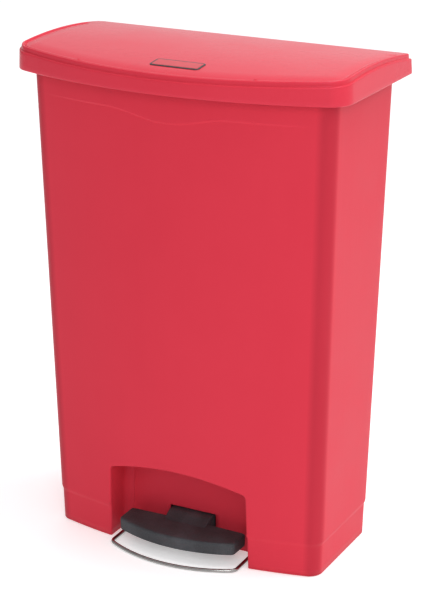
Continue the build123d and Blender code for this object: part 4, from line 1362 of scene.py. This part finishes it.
@dataclass
class PedalTread:
    """The bowed step, hollow underneath, with a neck that ramps up behind it, in millimetres."""

    half: float
    front: float
    low_z: float
    neck_rear: float
    neck_top: float
    top_z: float = 44.5
    rear: float = -61.0
    bow: float = 24.0
    wall: float = 3.0
    neck_half: float = 39.5
    neck_front: float = -92.0
    corner_steps: int = 10
    side_steps: int = 14
    front_steps: int = 64

    @classmethod
    def from_frame(cls) -> "PedalTread":
        """Reads the tread's main sizes from the fitted frame."""
        low, high = box_mm("pedal_tread")
        return cls(high[0], low[1], low[2], high[1], high[2])

    def top(self, x: np.ndarray, y: np.ndarray) -> np.ndarray:
        """The top's height: it falls by 1.2 mm with the square of x, and by 0.8 mm near the front edge."""
        ahead = np.clip((self.front + 26.0 - y) / 26.0, 0.0, 1.0)
        return self.top_z - 1.2 * (x / self.half) ** 2 - 0.8 * ahead**2

    def outline(self, inset: np.ndarray) -> Outline:
        """The step's outline, moved in by a distance."""
        return Outline(self.half - 1.5, self.rear, self.front, self.bow, 9.0, 6.0).inset(inset)

    def step(self, skin: Skin) -> None:
        """Adds the step: its section carried round the outline, and its top and hollow underside.

        Args:
            skin: The mesh that it is added to.
        """
        section = np.array(
            [
                (6.0, 1.0, -3.0), (4.4, 1.0, -3.2), (3.5, 1.0, -3.9), (3.2, 1.0, -5.2), (3.0, 0.3, -1.0),
                (2.8, 0.0, 0.7), (2.3, 0.0, 0.12), (1.6, 0.0, 0.0), (0.9, 0.0, 0.15), (0.45, 0.0, 0.8),
                (0.3, 0.2, 0.6), (0.1, 0.6, -1.8), (0.0, 1.0, -4.2), (0.08, 1.0, -3.1), (0.4, 1.0, -1.9),
                (1.0, 1.0, -1.0), (1.9, 1.0, -0.36), (3.0, 1.0, -0.06), (4.2, 1.0, 0.0), (7.0, 1.0, 0.0),
            ]
        )
        plan = self.outline(section[:, 0])
        columns = plan.touch_x()[:, None] * np.linspace(-1.0, 1.0, self.front_steps + 1)[None, :]
        loop = plan.loop(columns, self.corner_steps, self.side_steps, self.front_steps)
        loop[..., 0] *= 1 + 0.014 * (loop[..., 1] - self.front) / (self.rear - self.front)
        roof = self.top(loop[..., 0], loop[..., 1])
        z = self.low_z + section[:, 1:2] * (roof - self.low_z) + section[:, 2:3]
        rings = lifted(loop, z)
        skin.grid(rings, wrap=True)
        across = self.front_steps + self.corner_steps
        along = self.side_steps + self.corner_steps
        for ring, drop, flip in ((rings[-1], 0.0, False), (rings[0], self.wall, True)):
            inner = filled(ring[:, :2], across, along)
            skin.grid(lifted(inner, self.top(inner[..., 0], inner[..., 1]) - drop), flip=flip)

    def neck(self, skin: Skin) -> None:
        """Adds the neck: a rounded section carried back from inside the step, rising as a smooth ramp.

        Args:
            skin: The mesh that it is added to.
        """
        along = np.linspace(0.0, 1.0, 33)
        y = self.neck_front + (self.neck_rear - 0.4 - self.neck_front) * along
        climb = smooth_step((y - self.neck_front - 6.0) / (self.rear + 12.0 - self.neck_front - 6.0))
        start = self.top(np.array(0.0), np.array(self.neck_front)) - 1.6
        top = start + (self.neck_top - 0.2 - start) * climb
        base = np.full_like(y, self.low_z + 6.0)
        half = self.neck_half - 1.5 * (1 - climb)
        quarter = np.linspace(0.0, 0.5 * pi, 7)
        radius = np.minimum(3.2, 0.45 * (top - base))[:, None]
        sides = []
        for side, turn in ((1, quarter), (-1, quarter[::-1])):
            x = side * (half[:, None] - radius + radius * np.cos(turn)[None, :])
            z = top[:, None] - radius + radius * np.sin(turn)[None, :]
            sides.append(np.stack(np.broadcast_arrays(x, y[:, None], z), -1))
        low = [
            np.stack([side * half, y, base], -1)[:, None, :] for side in (-1, 1)
        ]
        rings = np.concatenate([sides[0], sides[1], low[0], low[1]], axis=1)
        ends = [end.mean(axis=1, keepdims=True) + 0 * end for end in (rings[:1], rings[-1:])]
        skin.grid(np.concatenate([ends[0], rings, ends[1]]), wrap=True, flip=True)

    def build(self, finishes: Finishes) -> bpy.types.Object:
        """Builds the step with its neck and the posts for its screws.

        Args:
            finishes: The bin's finishes.

        Returns:
            The tread's object.
        """
        skin = Skin()
        self.step(skin)
        self.neck(skin)
        low, high = box_mm("tread_screws")
        for x in (low[0] + 4.0, high[0] - 4.0):
            for y in (low[1] + 4.0, high[1] - 4.0):
                skin.column(x, y, 5.0, self.low_z + 11.1, self.top_z - 1.6)
        tread = skin.piece("pedal_tread_skin")
        settle(tread, Body.PEDAL, "tread_plastic", finishes["tread_plastic"], "pedal_tread")
        return tread


@dataclass
class FloorLoop:
    """The bent wire that the bin is steadied by, a little higher at the back, in millimetres."""

    half: float
    front: float
    rear: float
    radius: float = 3.0
    bow: float = 30.5
    corner_radius: float = 13.0
    tilt: float = 0.75
    sections: int = 28

    @classmethod
    def from_frame(cls) -> "FloorLoop":
        """Reads the loop's main sizes from the fitted frame."""
        low, high = box_mm("floor_loop")
        return cls(high[0] - 3.0, low[1] + 3.0, high[1])

    def path(self) -> np.ndarray:
        """The wire's centre line: a leg, a corner arc, the bowed front and back again.

        Returns:
            Points in X and Y.
        """
        plan = Outline(self.half, self.rear, self.front, self.bow, self.corner_radius, self.corner_radius)
        touch = float(plan.touch_x())
        corner_y = float(plan.corner_y())
        start = np.arctan2(float(plan.front_y(touch)) - corner_y, touch - (self.half - self.corner_radius))
        leg_y = np.linspace(corner_y, self.rear, 25)[1:]
        leg = np.stack([np.full(24, self.half), leg_y], -1)
        turn = start * np.linspace(1.0, 0.0, 17)[1:]
        centre = self.half - self.corner_radius
        across, ahead = self.corner_radius * np.cos(turn), self.corner_radius * np.sin(turn)
        bend = np.stack([centre + across, corner_y + ahead], -1)
        x = np.linspace(-touch, touch, 61)
        front = np.stack([x, plan.front_y(x)], -1)
        right = np.concatenate([bend, leg])
        return np.concatenate([right[::-1] * np.array([-1.0, 1.0]), front, right])

    def build(self, finishes: Finishes) -> bpy.types.Object:
        """Builds the wire: a circle carried along its centre line, with rounded ends.

        Args:
            finishes: The bin's finishes.

        Returns:
            The wire's object.
        """
        path = self.path()
        along = np.gradient(path, axis=0)
        along /= np.linalg.norm(along, axis=1, keepdims=True)
        side = np.stack([along[:, 1], -along[:, 0]], -1)
        ends = np.array([0.0, 0.5, 0.8, 0.95])
        path = np.concatenate([np.repeat(path[:1], 4, axis=0), path, np.repeat(path[-1:], 4, axis=0)])
        side = np.concatenate([np.repeat(side[:1], 4, axis=0), side, np.repeat(side[-1:], 4, axis=0)])
        size = np.concatenate([ends, np.ones(len(path) - 8), ends[::-1]]) * self.radius
        shift = self.radius * (1 - np.sqrt(1 - ends**2)) * 0.4
        path[:4, 1] += shift[::-1] * 0.2
        turn = np.linspace(0.0, 2 * pi, self.sections + 1)[None, :-1]
        plan = path[:, None, :] + (size[:, None] * np.cos(turn))[..., None] * side[:, None, :]
        rise = np.sin(radians(self.tilt)) * (path[:, 1] - self.front)
        z = self.radius + rise[:, None] + size[:, None] * np.sin(turn)
        skin = Skin()
        skin.grid(lifted(plan, z), wrap=True)
        wire = skin.piece("floor_loop_wire", sharp=60.0)
        settle(wire, Body.ROOT, "polished_wire", finishes["polished_wire"], "floor_loop")
        return wire


# ---------------------------------------------------------------- the studio


@dataclass
class Studio:
    """A plain pale floor, soft light from above and the right, and the camera."""

    azimuth: float = 27.56
    elevation: float = 19.67
    distance: float = 3.0362
    target: tuple[float, float, float] = (0.0155, 0.0097, 0.4102)
    lens: float = 112.6
    floor_reach: float = 6000.0
    floor_drop: float = 0.05
    floor_glow: float = 0.4
    lamps: list[tuple[str, tuple[float, float, float], float, float]] = field(
        default_factory=lambda: [
            ("top_softbox", (0.6, 0.2, 2.7), 1.2, 23.0),
            ("right_softbox", (2.1, 0.6, 2.3), 0.9, 11.0),
            ("front_softbox", (0.95, -1.7, 1.5), 0.7, 10.0),
        ]
    )

    def build(self) -> None:
        """Sets up the floor, the surroundings, the lamps and the camera."""
        self.floor()
        self.world()
        for name, place, size, power in self.lamps:
            self.lamp(name, place, size, power)
        self.camera()

    def floor(self) -> None:
        """Lays a wide floor just under the bin, bright enough that its far part meets the backdrop."""
        skin = Skin()
        spread = np.linspace(-self.floor_reach, self.floor_reach, 13)
        x, y = np.meshgrid(spread, spread)
        skin.grid(np.stack([x, y, np.full_like(x, -self.floor_drop)], -1))
        ground = skin.piece("studio_floor", closed=False)
        graph = Graph("studio_floor")
        tone = graph.noise(graph.place(), 2.0, 2.0)
        white = graph.blend(tone, (0.9, 0.9, 0.9), (0.93, 0.93, 0.93))
        material = graph.surface({"Base Color": white, "Roughness": 0.85, "Emission Color": white})
        shader = next(node for node in graph.tree.nodes if node.type == "BSDF_PRINCIPLED")
        shader.inputs["Emission Strength"].default_value = self.floor_glow
        ground.data.materials.append(material)

    def world(self) -> None:
        """Surrounds the bin with white that is brighter from the right, the top and the back.

        What lights the bin is a share of the direction's dot product with the brightest direction,
        plus a glow low down behind it; what the camera sees is plain white.
        """
        world = bpy.data.worlds.new("studio")
        bpy.context.scene.world = world
        world.use_nodes = True
        tree = world.node_tree
        tree.nodes.clear()
        end = tree.nodes.new("ShaderNodeOutputWorld")
        where = tree.nodes.new("ShaderNodeTexCoord")
        level = self.level(tree, where, (0.62, 0.1, 0.75), (-1.0, 1.0, 0.0, 0.9))
        glow = self.level(tree, where, (-0.4, 0.86, 0.3), (0.55, 0.95, 0.0, 0.45))
        total = tree.nodes.new("ShaderNodeMath")
        tree.links.new(level, total.inputs[0])
        tree.links.new(glow, total.inputs[1])
        soft = tree.nodes.new("ShaderNodeBackground")
        tree.links.new(total.outputs[0], soft.inputs["Strength"])
        plain = tree.nodes.new("ShaderNodeBackground")
        plain.inputs["Color"].default_value = (1.0, 1.0, 1.0, 1.0)
        soft.inputs["Color"].default_value = (1.0, 0.98, 1.0, 1.0)
        seen = tree.nodes.new("ShaderNodeLightPath")
        either = tree.nodes.new("ShaderNodeMixShader")
        tree.links.new(seen.outputs["Is Camera Ray"], either.inputs[0])
        tree.links.new(soft.outputs[0], either.inputs[1])
        tree.links.new(plain.outputs[0], either.inputs[2])
        tree.links.new(either.outputs[0], end.inputs["Surface"])

    @staticmethod
    def level(
        tree: bpy.types.NodeTree,
        where: bpy.types.Node,
        toward: tuple[float, float, float],
        limits: tuple[float, float, float, float],
    ) -> bpy.types.NodeSocket:
        """Adds a brightness that depends on how far a direction points one way.

        Args:
            tree: The surroundings' nodes.
            where: The node that gives the direction.
            toward: The way.
            limits: The lowest and the highest dot product, and the brightness at each.

        Returns:
            The brightness.
        """
        dot = tree.nodes.new("ShaderNodeVectorMath")
        dot.operation = "DOT_PRODUCT"
        dot.inputs[1].default_value = Vector(toward).normalized()
        tree.links.new(where.outputs["Generated"], dot.inputs[0])
        level = tree.nodes.new("ShaderNodeMapRange")
        for name, value in zip(("From Min", "From Max", "To Min", "To Max"), limits):
            level.inputs[name].default_value = value
        tree.links.new(dot.outputs["Value"], level.inputs["Value"])
        return level.outputs["Result"]

    def lamp(self, name: str, place: tuple[float, float, float], size: float, power: float) -> None:
        """Hangs a square soft lamp that looks at the middle of the bin.

        Args:
            name: Its name.
            place: Where it hangs, in metres.
            size: The length of its sides.
            power: Its power in watts.
        """
        light = bpy.data.lights.new(name, "AREA")
        light.shape = "SQUARE"
        light.size = size
        light.energy = power
        thing = bpy.data.objects.new(name, light)
        thing.location = place
        thing.visible_camera = False
        thing.rotation_euler = (Vector((0.0, 0.0, 0.45)) - Vector(place)).to_track_quat("-Z", "Y").to_euler()
        bpy.context.scene.collection.objects.link(thing)

    def camera(self) -> None:
        """Puts the camera on a sphere round its target, from its azimuth and elevation."""
        turn, tip = radians(self.azimuth), radians(self.elevation)
        away = Vector((sin(turn) * cos(tip), -cos(turn) * cos(tip), sin(tip)))
        data = bpy.data.cameras.new("camera")
        data.lens = self.lens
        data.sensor_width = 36.0
        data.sensor_fit = "AUTO"
        thing = bpy.data.objects.new("camera", data)
        thing.location = Vector(self.target) + away * self.distance
        thing.rotation_euler = (-away).to_track_quat("-Z", "Y").to_euler()
        bpy.context.scene.collection.objects.link(thing)
        bpy.context.scene.camera = thing
        bpy.context.scene.view_settings.view_transform = "Standard"
        bpy.context.scene.view_settings.look = "None"


def main() -> None:
    """Builds the bin's pieces in order, then the studio."""
    logging.basicConfig(level=logging.INFO, format="%(name)s: %(message)s")
    finishes = Finishes()
    finishes.dress(frame["nodes"])
    shell = BodyShell.from_frame()
    shell.build(finishes)
    shell.build_inside(finishes)
    lid = LidShell.from_frame()
    lid.build(finishes)
    Badge.from_frame().build(lid, finishes)
    PedalTread.from_frame().build(finishes)
    FloorLoop.from_frame().build(finishes)
    Studio().build()


if __name__ == "__main__":
    main()
